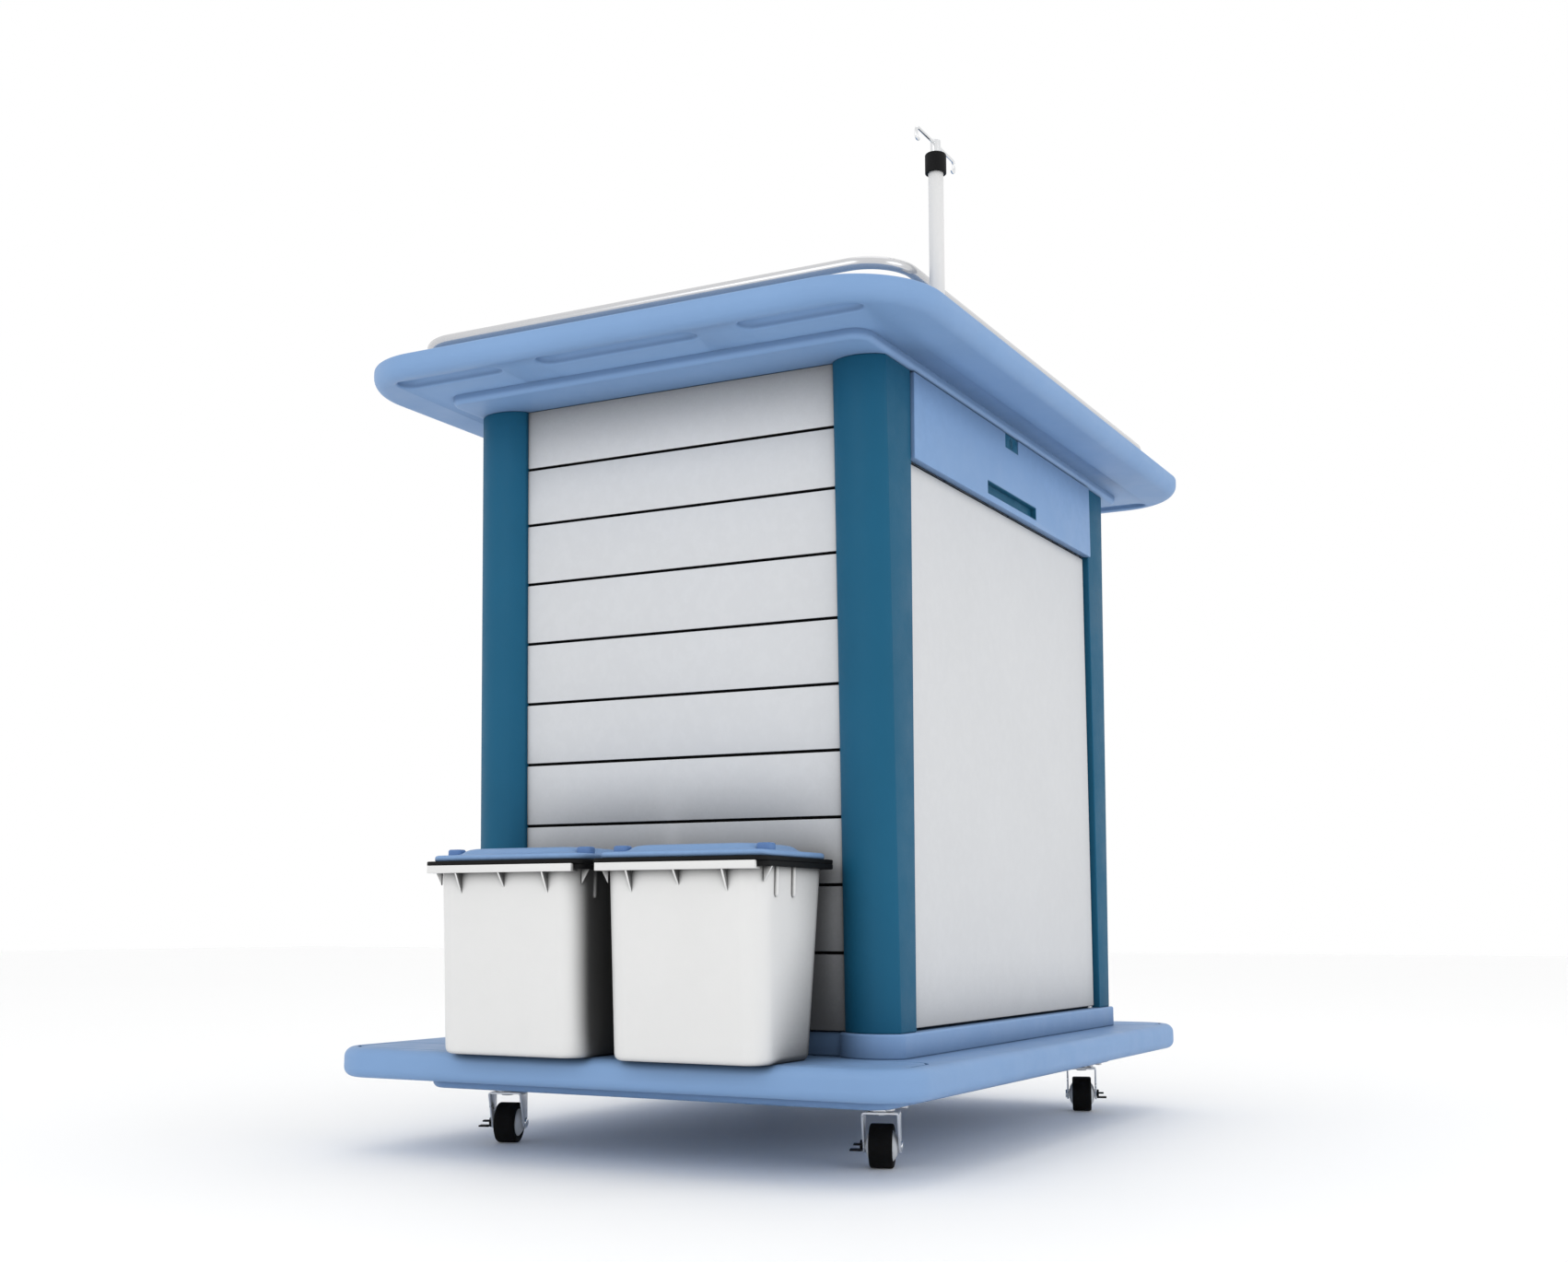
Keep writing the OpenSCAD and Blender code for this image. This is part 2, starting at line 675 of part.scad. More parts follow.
// ---------- bins ----------
// bin frame: x points from the bin's back to its front, z up from the platform
bin_x0 = 394;
bin_mid = -4.5;
bin_l = 180;
body_h = bin_h - 11;
bin_wall = 3;
rim_t = 11;
body_w = 206;
lip_w = 207;

module at_bin(s) translate([-bin_x0, bin_mid + s * bin_pitch / 2, deck_z]) mirror([1, 0, 0]) children();

// plan at height z, set in by g: the front leans out, the back leans in
module body_slice(x0, x1, w, r, z) {
  translate([(x0 + x1) / 2, 0, z]) linear_extrude(e) plate_plan(x1 - x0, w, r);
}

module body_solid(g, z0, z1) {
  hull() {
    body_slice(28 + g, bin_l - 21 - g, body_w - 6 - 2 * g, 28 - g, z0);
    body_slice(4 + g, bin_l - 10 - g, body_w - 2 * g, 28 - g, z1 - e);
  }
}

module bin_body(s) color("white") at_bin(s) {
  difference() {
    body_solid(0, 0, body_h);
    body_solid(bin_wall, bin_wall, body_h + 1);
  }
  // front comb lip on its webs
  box(bin_l - 3.7, bin_l + 2, -lip_w / 2, lip_w / 2, body_h - 3, body_h + 6);
  box(bin_l - 14, bin_l - 3.7, -lip_w / 2 + 2, lip_w / 2 - 2, body_h - 3, body_h);
  for (i = [-1, 0, 1]) let (h = i == 0 ? 21 : 29)
    translate([0, i * 62 + 1.25, body_h - 3]) rotate([90, 0, 0])
      linear_extrude(2.5) polygon([[bin_l - 13, 0], [bin_l + 1, 0], [bin_l - 12.5, -h]]);
  // side ribs
  for (t = [-1, 1], x = [92, 132]) translate([x, t * (body_w / 2 + 0.5), body_h - 32])
    cylinder(r = 3, h = 32);
}

module bin_rim(s) color("black") at_bin(s) translate([0, 0, body_h]) {
  difference() {
    union() {
      translate([bin_l / 2 - 2, 0, 0]) plate(bin_l - 4, bin_w, rim_t, 14);
      translate([bin_l / 2, 0, rim_t - 5]) plate(bin_l, bin_w, 5, 14);
    }
    translate([bin_l / 2 - 2, 0, -1]) plate(bin_l - 30, bin_w - 30, rim_t + 2, 24);
  }
  for (y = [-70, 62]) difference() {
    translate([0, y, 0]) hinge_lug(8);
    translate([pin_x, y - 1, rim_t + 5]) rotate([-90, 0, 0]) cylinder(r = pin_r, h = 10);
  }
}

pin_x = 5;
pin_r = 2;
module hinge_lug(w) {
  box(0, 10, 0, w, rim_t - 1, rim_t + 5);
  translate([pin_x, 0, rim_t + 5]) rotate([-90, 0, 0]) cylinder(r = 5, h = w);
}

module bin_pin(s) color("silver") at_bin(s)
  translate([pin_x, -72, body_h + rim_t + 5]) rotate([-90, 0, 0]) cylinder(r = pin_r, h = 144);

module bin_lid(s) color("cornflowerblue") at_bin(s) translate([0, 0, body_h + rim_t + gap]) {
  difference() {
    union() {
      translate([bin_l / 2 + 2, 0, 0]) round_slab(bin_l - 18, bin_w - 8, 7, 18, 1, 4);
      translate([bin_l / 2 + 3, 0, 3]) round_slab(bin_l - 56, bin_w - 56, 13, 24, 1, 8);
      for (y = [-1, 1]) translate([bin_l - 42, y * 94, 5]) plate(16, 19, 10, 5);
      for (y = [-60, 42]) {
        translate([pin_x, y, 5 - gap]) rotate([-90, 0, 0]) cylinder(r = 4.7, h = 18);
        box(pin_x, 20, y, y + 18, 2.5, 7.5);
      }
    }
    // clearance round the pin, and for the rim's lugs
    for (y = [-60, 42]) translate([pin_x, y - 1, 5 - gap]) rotate([-90, 0, 0]) cylinder(r = pin_r + 0.05, h = 20);
    for (y = [-71.5, 60.5]) box(-1, 12, y, y + 11, -1, 20);
  }
}

module bin_body_left() bin_body(1);
module bin_body_right() bin_body(-1);
module bin_rim_left() bin_rim(1);
module bin_rim_right() bin_rim(-1);
module bin_lid_left() bin_lid(1);
module bin_lid_right() bin_lid(-1);
module bin_pin_left() bin_pin(1);
module bin_pin_right() bin_pin(-1);

deck();
under_plate();
base_frame();
pillar_front_left();
pillar_front_right();
pillar_back_left();
pillar_back_right();
end_panel_left();
end_panel_right();
groove_liners();
side_liners();
back_panel();
front_frame();
shelf();
shelf_pins();
worktop();
gallery_rail();
rail_posts();
pole_foot();
pole_tube();
pole_collar();
pole_inner();
hook_head();
runner_outer();
runner_middle();
drawer_front();
drawer_tray();
drawer_pull();
lock_plate();
lock_barrel();
door_panel();
door_strike();
door_magnet();
door_pins();
caster_plates();
caster_bolts();
fork_front_left();
fork_front_right();
fork_back_left();
fork_back_right();
tyre_front_left();
tyre_front_right();
tyre_back_left();
tyre_back_right();
hub_front_left();
hub_front_right();
hub_back_left();
hub_back_right();
brake_front_left();
brake_front_right();
brake_back_left();
brake_back_right();
bin_body_left();
bin_body_right();
bin_rim_left();
bin_rim_right();
bin_lid_left();
bin_lid_right();
bin_pin_left();
bin_pin_right();
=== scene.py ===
import math

import bmesh
import bpy
from mathutils import Matrix, Vector


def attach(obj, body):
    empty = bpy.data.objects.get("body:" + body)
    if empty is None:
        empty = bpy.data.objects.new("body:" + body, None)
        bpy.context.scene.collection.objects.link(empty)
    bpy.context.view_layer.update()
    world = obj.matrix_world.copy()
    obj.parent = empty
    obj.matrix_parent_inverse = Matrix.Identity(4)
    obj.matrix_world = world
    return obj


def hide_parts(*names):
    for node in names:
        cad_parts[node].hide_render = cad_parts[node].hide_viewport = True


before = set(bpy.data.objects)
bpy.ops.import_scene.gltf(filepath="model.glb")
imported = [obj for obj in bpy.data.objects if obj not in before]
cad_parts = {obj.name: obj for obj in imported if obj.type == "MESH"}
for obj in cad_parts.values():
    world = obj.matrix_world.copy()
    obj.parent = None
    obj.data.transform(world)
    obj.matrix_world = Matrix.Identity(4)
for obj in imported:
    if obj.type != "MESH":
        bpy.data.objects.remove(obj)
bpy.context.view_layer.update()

# Lengths below are millimetres; meshes are scaled to metres as they are made.
MM = 0.001
CAB_Y = -12.5                    # the cabinet's and worktop's middle along Y
DECK_X, DECK_Y = -10.0, 12.5     # the platform's middle
DECK_Z, DECK_T = 127.0, 36.0     # its upper face and thickness
DECK_L, TOP_L, WIDTH = 1034.0, 1164.0, 798.0
FOOT_Z, CAB_TOP = 155.0, 950.0   # lower and upper end of the columns
RIM_Z, TOP_Z = 962.0, 990.0      # lower and upper face of the worktop
BAY_X, FOOT_X = 336.0, 380.0     # columns: inner face, and outer face of the end panels at the foot
FACE_Y, PANEL_Y = 298.0, 227.0   # columns: outer and inner face along Y
COLUMN_R, BULGE = 50.0, 15.0     # radius of their round side, and how far it stands out
FLARE = math.radians(2.02)       # lean of the ends
QUARTER = math.radians(90)
SCENE = bpy.context.scene


# ---------- materials ----------
def noise(nt, scale, detail=3.0, rough=0.5, stretch=None):
    """Noise in the object's own coordinates, stretched along one axis where asked."""
    coord = nt.nodes.new("ShaderNodeTexCoord")
    tex = nt.nodes.new("ShaderNodeTexNoise")
    tex.inputs["Scale"].default_value = scale
    tex.inputs["Detail"].default_value = detail
    tex.inputs["Roughness"].default_value = rough
    if stretch:
        mapping = nt.nodes.new("ShaderNodeMapping")
        mapping.inputs["Scale"].default_value = stretch
        nt.links.new(coord.outputs["Object"], mapping.inputs["Vector"])
        nt.links.new(mapping.outputs["Vector"], tex.inputs["Vector"])
    else:
        nt.links.new(coord.outputs["Object"], tex.inputs["Vector"])
    return tex.outputs["Fac"]


def map_range(nt, value, low, high, to_low, to_high):
    node = nt.nodes.new("ShaderNodeMapRange")
    for key, number in (("From Min", low), ("From Max", high), ("To Min", to_low), ("To Max", to_high)):
        node.inputs[key].default_value = number
    nt.links.new(value, node.inputs["Value"])
    return node.outputs["Result"]


def mix_colour(nt, factor, a, b):
    node = nt.nodes.new("ShaderNodeMix")
    node.data_type = "RGBA"
    for socket, value in (("Factor", factor), ("A", a), ("B", b)):
        kinds = ("VALUE",) if socket == "Factor" else ("RGBA",)
        slot_in = next(i for i in node.inputs if i.name == socket and i.type in kinds)
        if hasattr(value, "is_output"):
            nt.links.new(value, slot_in)
        else:
            slot_in.default_value = value
    return next(o for o in node.outputs if o.type == "RGBA")


def material(name, colour, rough, metallic=0.0, blotch=0.03, blotch_scale=5.0, grain=0.0, grain_scale=700.0,
             rough_var=0.08, wear=0.0, coat=0.0, stretch=None, specular=0.5,
             painted_shade=0.0, reach=0.12, dark_at=0.15, clear_at=0.85):
    """Node material: faint patches, paler worn edges (wear), painted shade that darkens the colour towards
    black in corners, gaps and under parts by ambient occlusion within reach metres, uneven roughness and a
    fine surface grain."""
    m = bpy.data.materials.new(name)
    m.use_nodes = True
    nt = m.node_tree
    bsdf = next(n for n in nt.nodes if n.type == "BSDF_PRINCIPLED")
    bsdf.inputs["Metallic"].default_value = metallic
    bsdf.inputs["Specular IOR Level"].default_value = specular
    bsdf.inputs["Coat Weight"].default_value = coat
    bsdf.inputs["Coat Roughness"].default_value = 0.15
    light = [min(1.0, c * (1 + blotch)) for c in colour] + [1.0]
    dark = [c * (1 - blotch) for c in colour] + [1.0]
    patches = map_range(nt, noise(nt, blotch_scale, 4.0, 0.6), 0.35, 0.65, 0.0, 1.0)
    out = mix_colour(nt, patches, dark, light)
    if wear:
        geometry = nt.nodes.new("ShaderNodeNewGeometry")
        edge = map_range(nt, geometry.outputs["Pointiness"], 0.52, 0.60, 0.0, wear)
        broken = map_range(nt, noise(nt, 60.0, 5.0, 0.7), 0.45, 0.6, 0.0, 1.0)
        product = nt.nodes.new("ShaderNodeMath")
        product.operation = "MULTIPLY"
        nt.links.new(edge, product.inputs[0])
        nt.links.new(broken, product.inputs[1])
        worn = [min(1, c * 1.5 + 0.05) for c in colour] + [1.0]
        out = mix_colour(nt, product.outputs[0], out, worn)
    # painted shade: ambient occlusion darkens the base colour in corners, recesses and between parts
    if painted_shade:
        occlusion_for_shade = nt.nodes.new("ShaderNodeAmbientOcclusion")
        occlusion_for_shade.samples = 16
        occlusion_for_shade.inputs["Distance"].default_value = reach
        share = map_range(nt, occlusion_for_shade.outputs["AO"], dark_at, clear_at, painted_shade, 0.0)
        out = mix_colour(nt, share, out, [c * 0.08 for c in colour] + [1.0])
    nt.links.new(out, bsdf.inputs["Base Color"])
    smears = noise(nt, 18.0, 5.0, 0.65, stretch)
    uneven = map_range(nt, smears, 0.3, 0.7, rough - rough_var, rough + rough_var)
    nt.links.new(uneven, bsdf.inputs["Roughness"])
    if grain:
        bump = nt.nodes.new("ShaderNodeBump")
        bump.inputs["Strength"].default_value = grain
        bump.inputs["Distance"].default_value = 0.0006
        nt.links.new(noise(nt, grain_scale, 2.0, 0.5, stretch), bump.inputs["Height"])
        nt.links.new(bump.outputs["Normal"], bsdf.inputs["Normal"])
    return m


# BLUE, TEAL, WHITE and BIN_WHITE carry painted shade: their colour darkens in corners, gaps and between
# parts, most on the bins and white panels
BLUE = material("blue_moulding", (0.196, 0.33, 0.56), 0.5, grain=0.15, wear=0.2, blotch=0.02,
                specular=0.25, painted_shade=0.6, reach=0.08)
# painted shade: a darker copy of the lid's blue, standing in for the shade on the lugs' side faces
SHADED_LUG_BLUE = material("lug_blue_painted_shade", (0.10, 0.20, 0.42), 0.45, grain=0.25, specular=0.3)
TEAL = material("teal_column", (0.010, 0.098, 0.182), 0.5, grain=0.2, blotch=0.04, wear=0.2,
                specular=0.12, painted_shade=0.3)
WHITE = material("white_panel", (0.61, 0.62, 0.635), 0.5, grain=0.06, grain_scale=420.0, blotch=0.01,
                 wear=0.1, specular=0.25, painted_shade=0.9, reach=0.18, dark_at=0.3, clear_at=0.85)
BIN_WHITE = material("bin_white", (0.71, 0.71, 0.705), 0.42, grain=0.12, blotch=0.012, blotch_scale=9.0,
                     specular=0.3, painted_shade=0.97, reach=0.15, dark_at=0.35, clear_at=0.9)
TUBE_WHITE = material("tube_white", (0.66, 0.66, 0.66), 0.32, coat=0.2, blotch=0.01, specular=0.4)
RAIL_WHITE = material("rail_white", (0.60, 0.60, 0.61), 0.2, metallic=0.75, blotch=0.01, rough_var=0.04)
BLACK = material("black_trim", (0.004, 0.004, 0.0045), 0.6, grain=0.3, blotch=0.2, specular=0.15)
GROOVE = material("groove_black", (0.002, 0.002, 0.002), 0.9, blotch=0.2, specular=0.05)
STEEL = material("steel", (0.55, 0.56, 0.58), 0.3, metallic=1.0, blotch=0.04, blotch_scale=30.0,
                 grain=0.12, grain_scale=300.0, stretch=(1.0, 1.0, 12.0))
CHROME = material("chrome", (0.74, 0.75, 0.76), 0.16, metallic=1.0, blotch=0.02, rough_var=0.05)
ZINC = material("zinc_sheet", (0.78, 0.79, 0.81), 0.3, metallic=0.7, blotch_scale=60.0, grain=0.1)
TYRE = material("tyre_rubber", (0.004, 0.004, 0.004), 0.75, grain=0.6, grain_scale=500.0, blotch=0.25,
                blotch_scale=40.0, specular=0.12)
HUB = material("hub_grey", (0.62, 0.63, 0.64), 0.4, grain=0.15, blotch=0.02, blotch_scale=30.0)
INSIDE = material("grey_inside", (0.50, 0.51, 0.52), 0.45, grain=0.15, blotch=0.02)
LOCK = material("lock_teal", (0.010, 0.085, 0.15), 0.4, metallic=0.3, blotch=0.05, blotch_scale=40.0,
                specular=0.2)
FLOOR = material("floor", (0.97, 0.97, 0.97), 0.6, blotch=0.002, blotch_scale=0.6, rough_var=0.04,
                 specular=0.05)


# ---------- mesh tools ----------
def apply_modifiers(ob):
    """Bake the modifiers into the mesh."""
    graph = bpy.context.evaluated_depsgraph_get()
    made = bpy.data.meshes.new_from_object(ob.evaluated_get(graph), depsgraph=graph)
    ob.modifiers.clear()
    old = ob.data
    ob.data = made
    bpy.data.meshes.remove(old)


def raw(name, shapes):
    """Object of closed shapes, each (points in mm, faces), welded and with outward normals."""
    mesh = bpy.data.meshes.new(name)
    points, faces = [], []
    for shape_points, shape_faces in shapes:
        base = len(points)
        points += [tuple(MM * c for c in p) for p in shape_points]
        faces += [tuple(base + i for i in f) for f in shape_faces]
    mesh.from_pydata(points, [], faces)
    bm = bmesh.new()
    bm.from_mesh(mesh)
    bmesh.ops.remove_doubles(bm, verts=bm.verts, dist=1e-6)
    bmesh.ops.recalc_face_normals(bm, faces=bm.faces)
    bm.to_mesh(mesh)
    bm.free()
    ob = bpy.data.objects.new(name, mesh)
    SCENE.collection.objects.link(ob)
    return ob


def piece(name, shapes, mat, body, replaced=(), bevel=0.0, steps=3, cut=(), sharp=32.0):
    """Visible piece that rides body: its shapes, less each list of shapes in cut, with edges over
    32 degrees bevelled by bevel mm. It stands in for the CAD nodes in replaced."""
    ob = raw(name, shapes)
    for shape in cut:
        cutter = raw(name + "_cutter", shape)
        boolean = ob.modifiers.new("cut", "BOOLEAN")
        boolean.operation, boolean.solver, boolean.object = "DIFFERENCE", "EXACT", cutter
        boolean.use_self = len(shapes) > 1     # shapes of one piece may overlap
        bpy.context.view_layer.update()
        apply_modifiers(ob)
        bpy.data.objects.remove(cutter)
    if bevel:
        eased = ob.modifiers.new("bevel", "BEVEL")
        eased.width, eased.segments, eased.limit_method = bevel * MM, steps, "ANGLE"
        eased.angle_limit = math.radians(32)
        eased.use_clamp_overlap = True
        bpy.context.view_layer.update()
        apply_modifiers(ob)
    mesh = ob.data
    mesh.name = name
    mesh.shade_smooth()
    mesh.set_sharp_from_angle(angle=math.radians(sharp))
    mesh.materials.clear()
    mesh.materials.append(mat)
    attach(ob, body)
    if replaced:
        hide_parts(*replaced)
    return ob


def moved(shape, matrix):
    """The shape with its points taken through matrix."""
    return [tuple(matrix @ Vector(p)) for p in shape[0]], shape[1]


def at(x, y, z, turn=0.0, axis="Z"):
    """Place that first turns about its own axis, then moves to (x, y, z)."""
    return Matrix.Translation((x, y, z)) @ Matrix.Rotation(turn, 4, axis)


def box(x0, x1, y0, y1, z0, z1):
    """Block between two limits on each axis, given in either order."""
    xs, ys, zs = sorted((x0, x1)), sorted((y0, y1)), sorted((z0, z1))
    points = [(x, y, z) for z in zs for y in ys for x in xs]
    return points, [(0, 2, 3, 1), (4, 5, 7, 6), (0, 1, 5, 4), (2, 6, 7, 3), (0, 4, 6, 2), (1, 3, 7, 5)]


def loft(rings, closed=False):
    """Closed skin over rings of equal length; each ring is a list of 3-D points."""
    n = len(rings[0])
    points = [p for ring in rings for p in ring]
    faces = []
    count = len(rings) if closed else len(rings) - 1
    for k in range(count):
        a, b = k * n, (k + 1) % len(rings) * n
        faces += [(a + i, a + (i + 1) % n, b + (i + 1) % n, b + i) for i in range(n)]
    if not closed:
        faces += [tuple(range(n - 1, -1, -1)), tuple(range(len(points) - n, len(points)))]
    return points, faces


def rounded(l, w, r, n=12, cx=0.0, cy=0.0):
    """Outline of a rounded rectangle, anticlockwise."""
    out = []
    for k, (sx, sy) in enumerate(((1, 1), (-1, 1), (-1, -1), (1, -1))):
        for i in range(n + 1):
            a = math.radians(90 * k + 90 * i / n)
            out.append((cx + sx * (l / 2 - r) + r * math.cos(a), cy + sy * (w / 2 - r) + r * math.sin(a)))
    return out


def slab(l, w, t, r, low, high, z0=0.0, cx=0.0, cy=0.0, n=16, k=8):
    """Slab with rounded plan corners and rounded lower and upper edges."""
    steps = [(low * (1 - math.cos(a)), low + low * math.sin(a))
             for a in (math.radians(-90 + 90 * i / k) for i in range(k + 1))]
    steps += [(high * (1 - math.cos(a)), t - high + high * math.sin(a))
              for a in (math.radians(90 * i / k) for i in range(k + 1))]
    return loft([[(x, y, z0 + z) for x, y in rounded(l - 2 * d, w - 2 * d, r - d, n, cx, cy)]
                 for d, z in steps])


def prism(outline, z0, z1):
    return loft([[(x, y, z) for x, y in outline] for z in (z0, z1)])


def lathe(profile, n=48):
    """Turned shape about Z from (radius, z) points; ends on the axis or as a closed loop."""
    points = []
    rings = []
    for r, z in profile:
        if r < 1e-6:
            rings.append([len(points)])
            points.append((0, 0, z))
        else:
            rings.append(list(range(len(points), len(points) + n)))
            turns = [2 * math.pi * i / n for i in range(n)]
            points += [(r * math.cos(a), r * math.sin(a), z) for a in turns]
    faces = []
    pairs = list(zip(rings, rings[1:]))
    if len(rings[0]) > 1 and len(rings[-1]) > 1:
        pairs.append((rings[-1], rings[0]))
    for a, b in pairs:
        for i in range(n):
            j = (i + 1) % n
            if len(a) == 1 and len(b) > 1:
                faces.append((a[0], b[j], b[i]))
            elif len(b) == 1 and len(a) > 1:
                faces.append((a[i], a[j], b[0]))
            elif len(a) > 1:
                faces.append((a[i], a[j], b[j], b[i]))
    return points, faces


def rod(radius, low, high, n=20):
    """Plain cylinder about Z, mostly for cutting a hole."""
    return lathe([(0, low), (radius, low), (radius, high), (0, high)], n)


def arc(cx, cy, r, a, b, n=8):
    """Points on an arc, angles in degrees."""
    return [(cx + r * math.cos(math.radians(a + (b - a) * i / n)),
             cy + r * math.sin(math.radians(a + (b - a) * i / n))) for i in range(n + 1)]


def tube(path, radius, side, closed=False, n=24):
    """Round tube along a flat path; side is the normal of the path's plane."""
    path = [Vector(p) for p in path]
    side = Vector(side)
    rings = []
    count = len(path)
    for i, p in enumerate(path):
        ahead = path[(i + 1) % count] if closed or i + 1 < count else p
        behind = path[i - 1] if closed or i else p
        across = (ahead - behind).normalized().cross(side)
        turns = [2 * math.pi * k / n for k in range(n)]
        rings.append([tuple(p + radius * (across * math.cos(a) + side * math.sin(a))) for a in turns])
    return loft(rings, closed)


def cad(mat, *nodes):
    """A CAD node whose shape is right keeps it and takes a finish."""
    for name in nodes:
        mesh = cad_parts[name].data
        mesh.materials.clear()
        mesh.materials.append(mat)


CORNERS = [(x, y, ("front_" if y < 0 else "back_") + ("left" if x < 0 else "right"))
           for x in (-1, 1) for y in (-1, 1)]


# ---------- platform ----------
def foot_outline():
    """Plan of the upstand: bulges round the four columns, set back between them."""
    grow, back = 6.0, 8.0
    radius = COLUMN_R + grow
    half = (FACE_Y - PANEL_Y) / 2 + grow
    reach = math.degrees(math.asin(half / radius))
    quarter = [(FOOT_X - back, PANEL_Y - grow)]
    quarter += arc(FOOT_X + BULGE - COLUMN_R, (PANEL_Y + FACE_Y) / 2, radius, -reach, reach, 16)
    out = list(quarter)
    out += [(-x, y) for x, y in reversed(quarter)]
    out += [(-x, -y) for x, y in quarter]
    out += [(x, -y) for x, y in reversed(quarter)]
    return [(x, y + CAB_Y) for x, y in out]


def channels():
    """Cutters for the shallow channel round each end of the platform."""
    edge, gap = 20.0, 28.0     # from the platform's edge, and from the cabinet
    section = ((-0.6, 0.3), (0, -0.4), (0, -1.6), (0.8, -2.5), (3.2, -2.5), (4, -1.6), (4, -0.4), (4.6, 0.3))
    out = []
    for s in (-1, 1):
        l = DECK_L / 2 - FOOT_X - edge - gap + s * DECK_X
        w = WIDTH - 2 * edge
        cx = s * (FOOT_X + gap + l / 2)
        rings = [[(x, y, DECK_Z + z) for x, y in rounded(l - 2 * d, w - 2 * d, 30 - d, 12, cx, DECK_Y)]
                 for d, z in section]
        out.append([loft(rings, closed=True)])
    return out


piece("platform_deck", [slab(DECK_L, WIDTH, DECK_T, 60, 12, 12, DECK_Z - DECK_T, DECK_X, DECK_Y)],
      BLUE, "cabinet", ["deck"], cut=channels())
piece("platform_upstand", [prism(foot_outline(), DECK_Z - 0.5, FOOT_Z)],
      BLUE, "cabinet", bevel=2.5, steps=4)
piece("platform_lower_plate", [slab(831, 648, 18, 30, 8, 1, 73, DECK_X, DECK_Y)],
      BLUE, "cabinet", ["under_plate"])


# ---------- columns, panels ----------
def column(sx, sy):
    """Corner column: upright inner faces and a round outer side that leans out."""
    half = (FACE_Y - PANEL_Y) / 2
    reach = math.degrees(math.asin(half / COLUMN_R))

    def outline(z):
        shift = FOOT_X + BULGE - COLUMN_R + (z - FOOT_Z) * math.tan(FLARE)
        out = [(BAY_X, FACE_Y), (BAY_X, PANEL_Y)]
        out += arc(shift, PANEL_Y + half, COLUMN_R, -reach, reach, 20)
        return [(sx * x, CAB_Y + sy * y, z) for x, y in out]
    heights = [FOOT_Z + i * (CAB_TOP - FOOT_Z) / 12 for i in range(13)]
    return loft([outline(z) for z in heights])


for sx, sy, name in CORNERS:
    piece("column_" + name, [column(sx, sy)], TEAL, "cabinet", ["pillar_" + name],
          bevel=1.6, steps=4)

GROOVES = [90 + i * 78.8 for i in range(8)] + [716.6]     # heights up the panel
GROOVE_HALF = 1.75


def slats():
    """Boards of an end panel and the core behind them, x outwards, z up the lean."""
    half, low, high = PANEL_Y - 0.1, 1.0, 794.6
    edges = [low] + [v for g in GROOVES for v in (g - GROOVE_HALF, g + GROOVE_HALF)] + [high]
    boards = [box(-10.2, -4, -half, half, a, b) for a, b in zip(edges[::2], edges[1::2])]
    return boards + [box(-20, -10.1, -half, half, low, high)]


for s, side in ((-1, "left"), (1, "right")):
    lean = Matrix.Translation((s * FOOT_X, CAB_Y, FOOT_Z)) @ Matrix.Rotation(s * FLARE, 4, "Y")
    if s < 0:
        lean = lean @ Matrix.Scale(-1, 4, (1, 0, 0))
    piece("end_slats_" + side, [moved(b, lean) for b in slats()], WHITE, "cabinet",
          ["end_panel_" + side], bevel=0.7, steps=3)
cad(GROOVE, "groove_liners")
cad(INSIDE, "side_liners", "shelf")
cad(STEEL, "front_frame", "shelf_pins", "base_frame", "runner_outer", "runner_middle",
    "door_pins", "door_strike")
cad(BLACK, "door_magnet")
piece("rear_panel", [box(-BAY_X, BAY_X, CAB_Y + FACE_Y - 13, CAB_Y + FACE_Y - 7, FOOT_Z, CAB_TOP)],
      WHITE, "cabinet", ["back_panel"], bevel=0.5)

# ---------- worktop ----------
GRIP_X, GRIP_W = 540.0, 30.0                        # finger grips: distance out, and width
GRIPS = ((0, 225), (-251, 158), (251, 158))         # place along Y and length of each


def grip_cutters():
    """Cutters for the finger grips under both ends, round in section."""
    section = ((3.4, -1.0), (3.0, 0.0), (1.4, 0.9), (0.4, 2.2), (0, 4.0),
               (-0.8, 6.2), (-2.6, 8.0), (-5.0, 8.8), (-8.0, 9.0))
    out = []
    for s in (-1, 1):
        for y, l in GRIPS:
            rings = []
            for d, z in section:
                plan = rounded(GRIP_W + 2 * d, l + 2 * d, GRIP_W / 2 + d - 0.01, 12, s * GRIP_X, CAB_Y + y)
                rings.append([(x, v, RIM_Z + z) for x, v in plan])
            out.append([loft(rings)])
    return out


piece("worktop_slab", [slab(TOP_L, WIDTH, TOP_Z - RIM_Z, 112, 18, 4, RIM_Z, 0, CAB_Y, 28, 10)],
      BLUE, "cabinet", ["worktop"], cut=grip_cutters())
piece("worktop_plinth", [slab(960, 608, 12.6, 24, 7, 0.4, CAB_TOP, 0, CAB_Y, 12, 8)],
      BLUE, "cabinet")

RAIL_L, RAIL_W, RAIL_UP, RAIL_R = 988.0, 694.0, 43.0, 7.5
rail_path = [(x, y + CAB_Y, TOP_Z + RAIL_UP) for x, y in rounded(RAIL_L, RAIL_W, 57, 18)]
piece("gallery_rail_tube", [tube(rail_path, RAIL_R, (0, 0, 1), closed=True, n=28)],
      RAIL_WHITE, "cabinet", ["gallery_rail"], sharp=60)
post = lathe([(0, 0), (11, 0), (11, 2.6), (10.2, 3.7), (8.6, 4.0), (6.4, 4.6), (5.2, 6.4),
              (5, 9), (5, 34), (5.6, 36.5), (5.6, 39.5), (0, 39.5)], 32)
post_places = [at(x, CAB_Y + s * RAIL_W / 2, TOP_Z) for x in (-330, 0, 330) for s in (-1, 1)]
piece("rail_post_set", [moved(post, place) for place in post_places],
      TUBE_WHITE, "cabinet", ["rail_posts"])

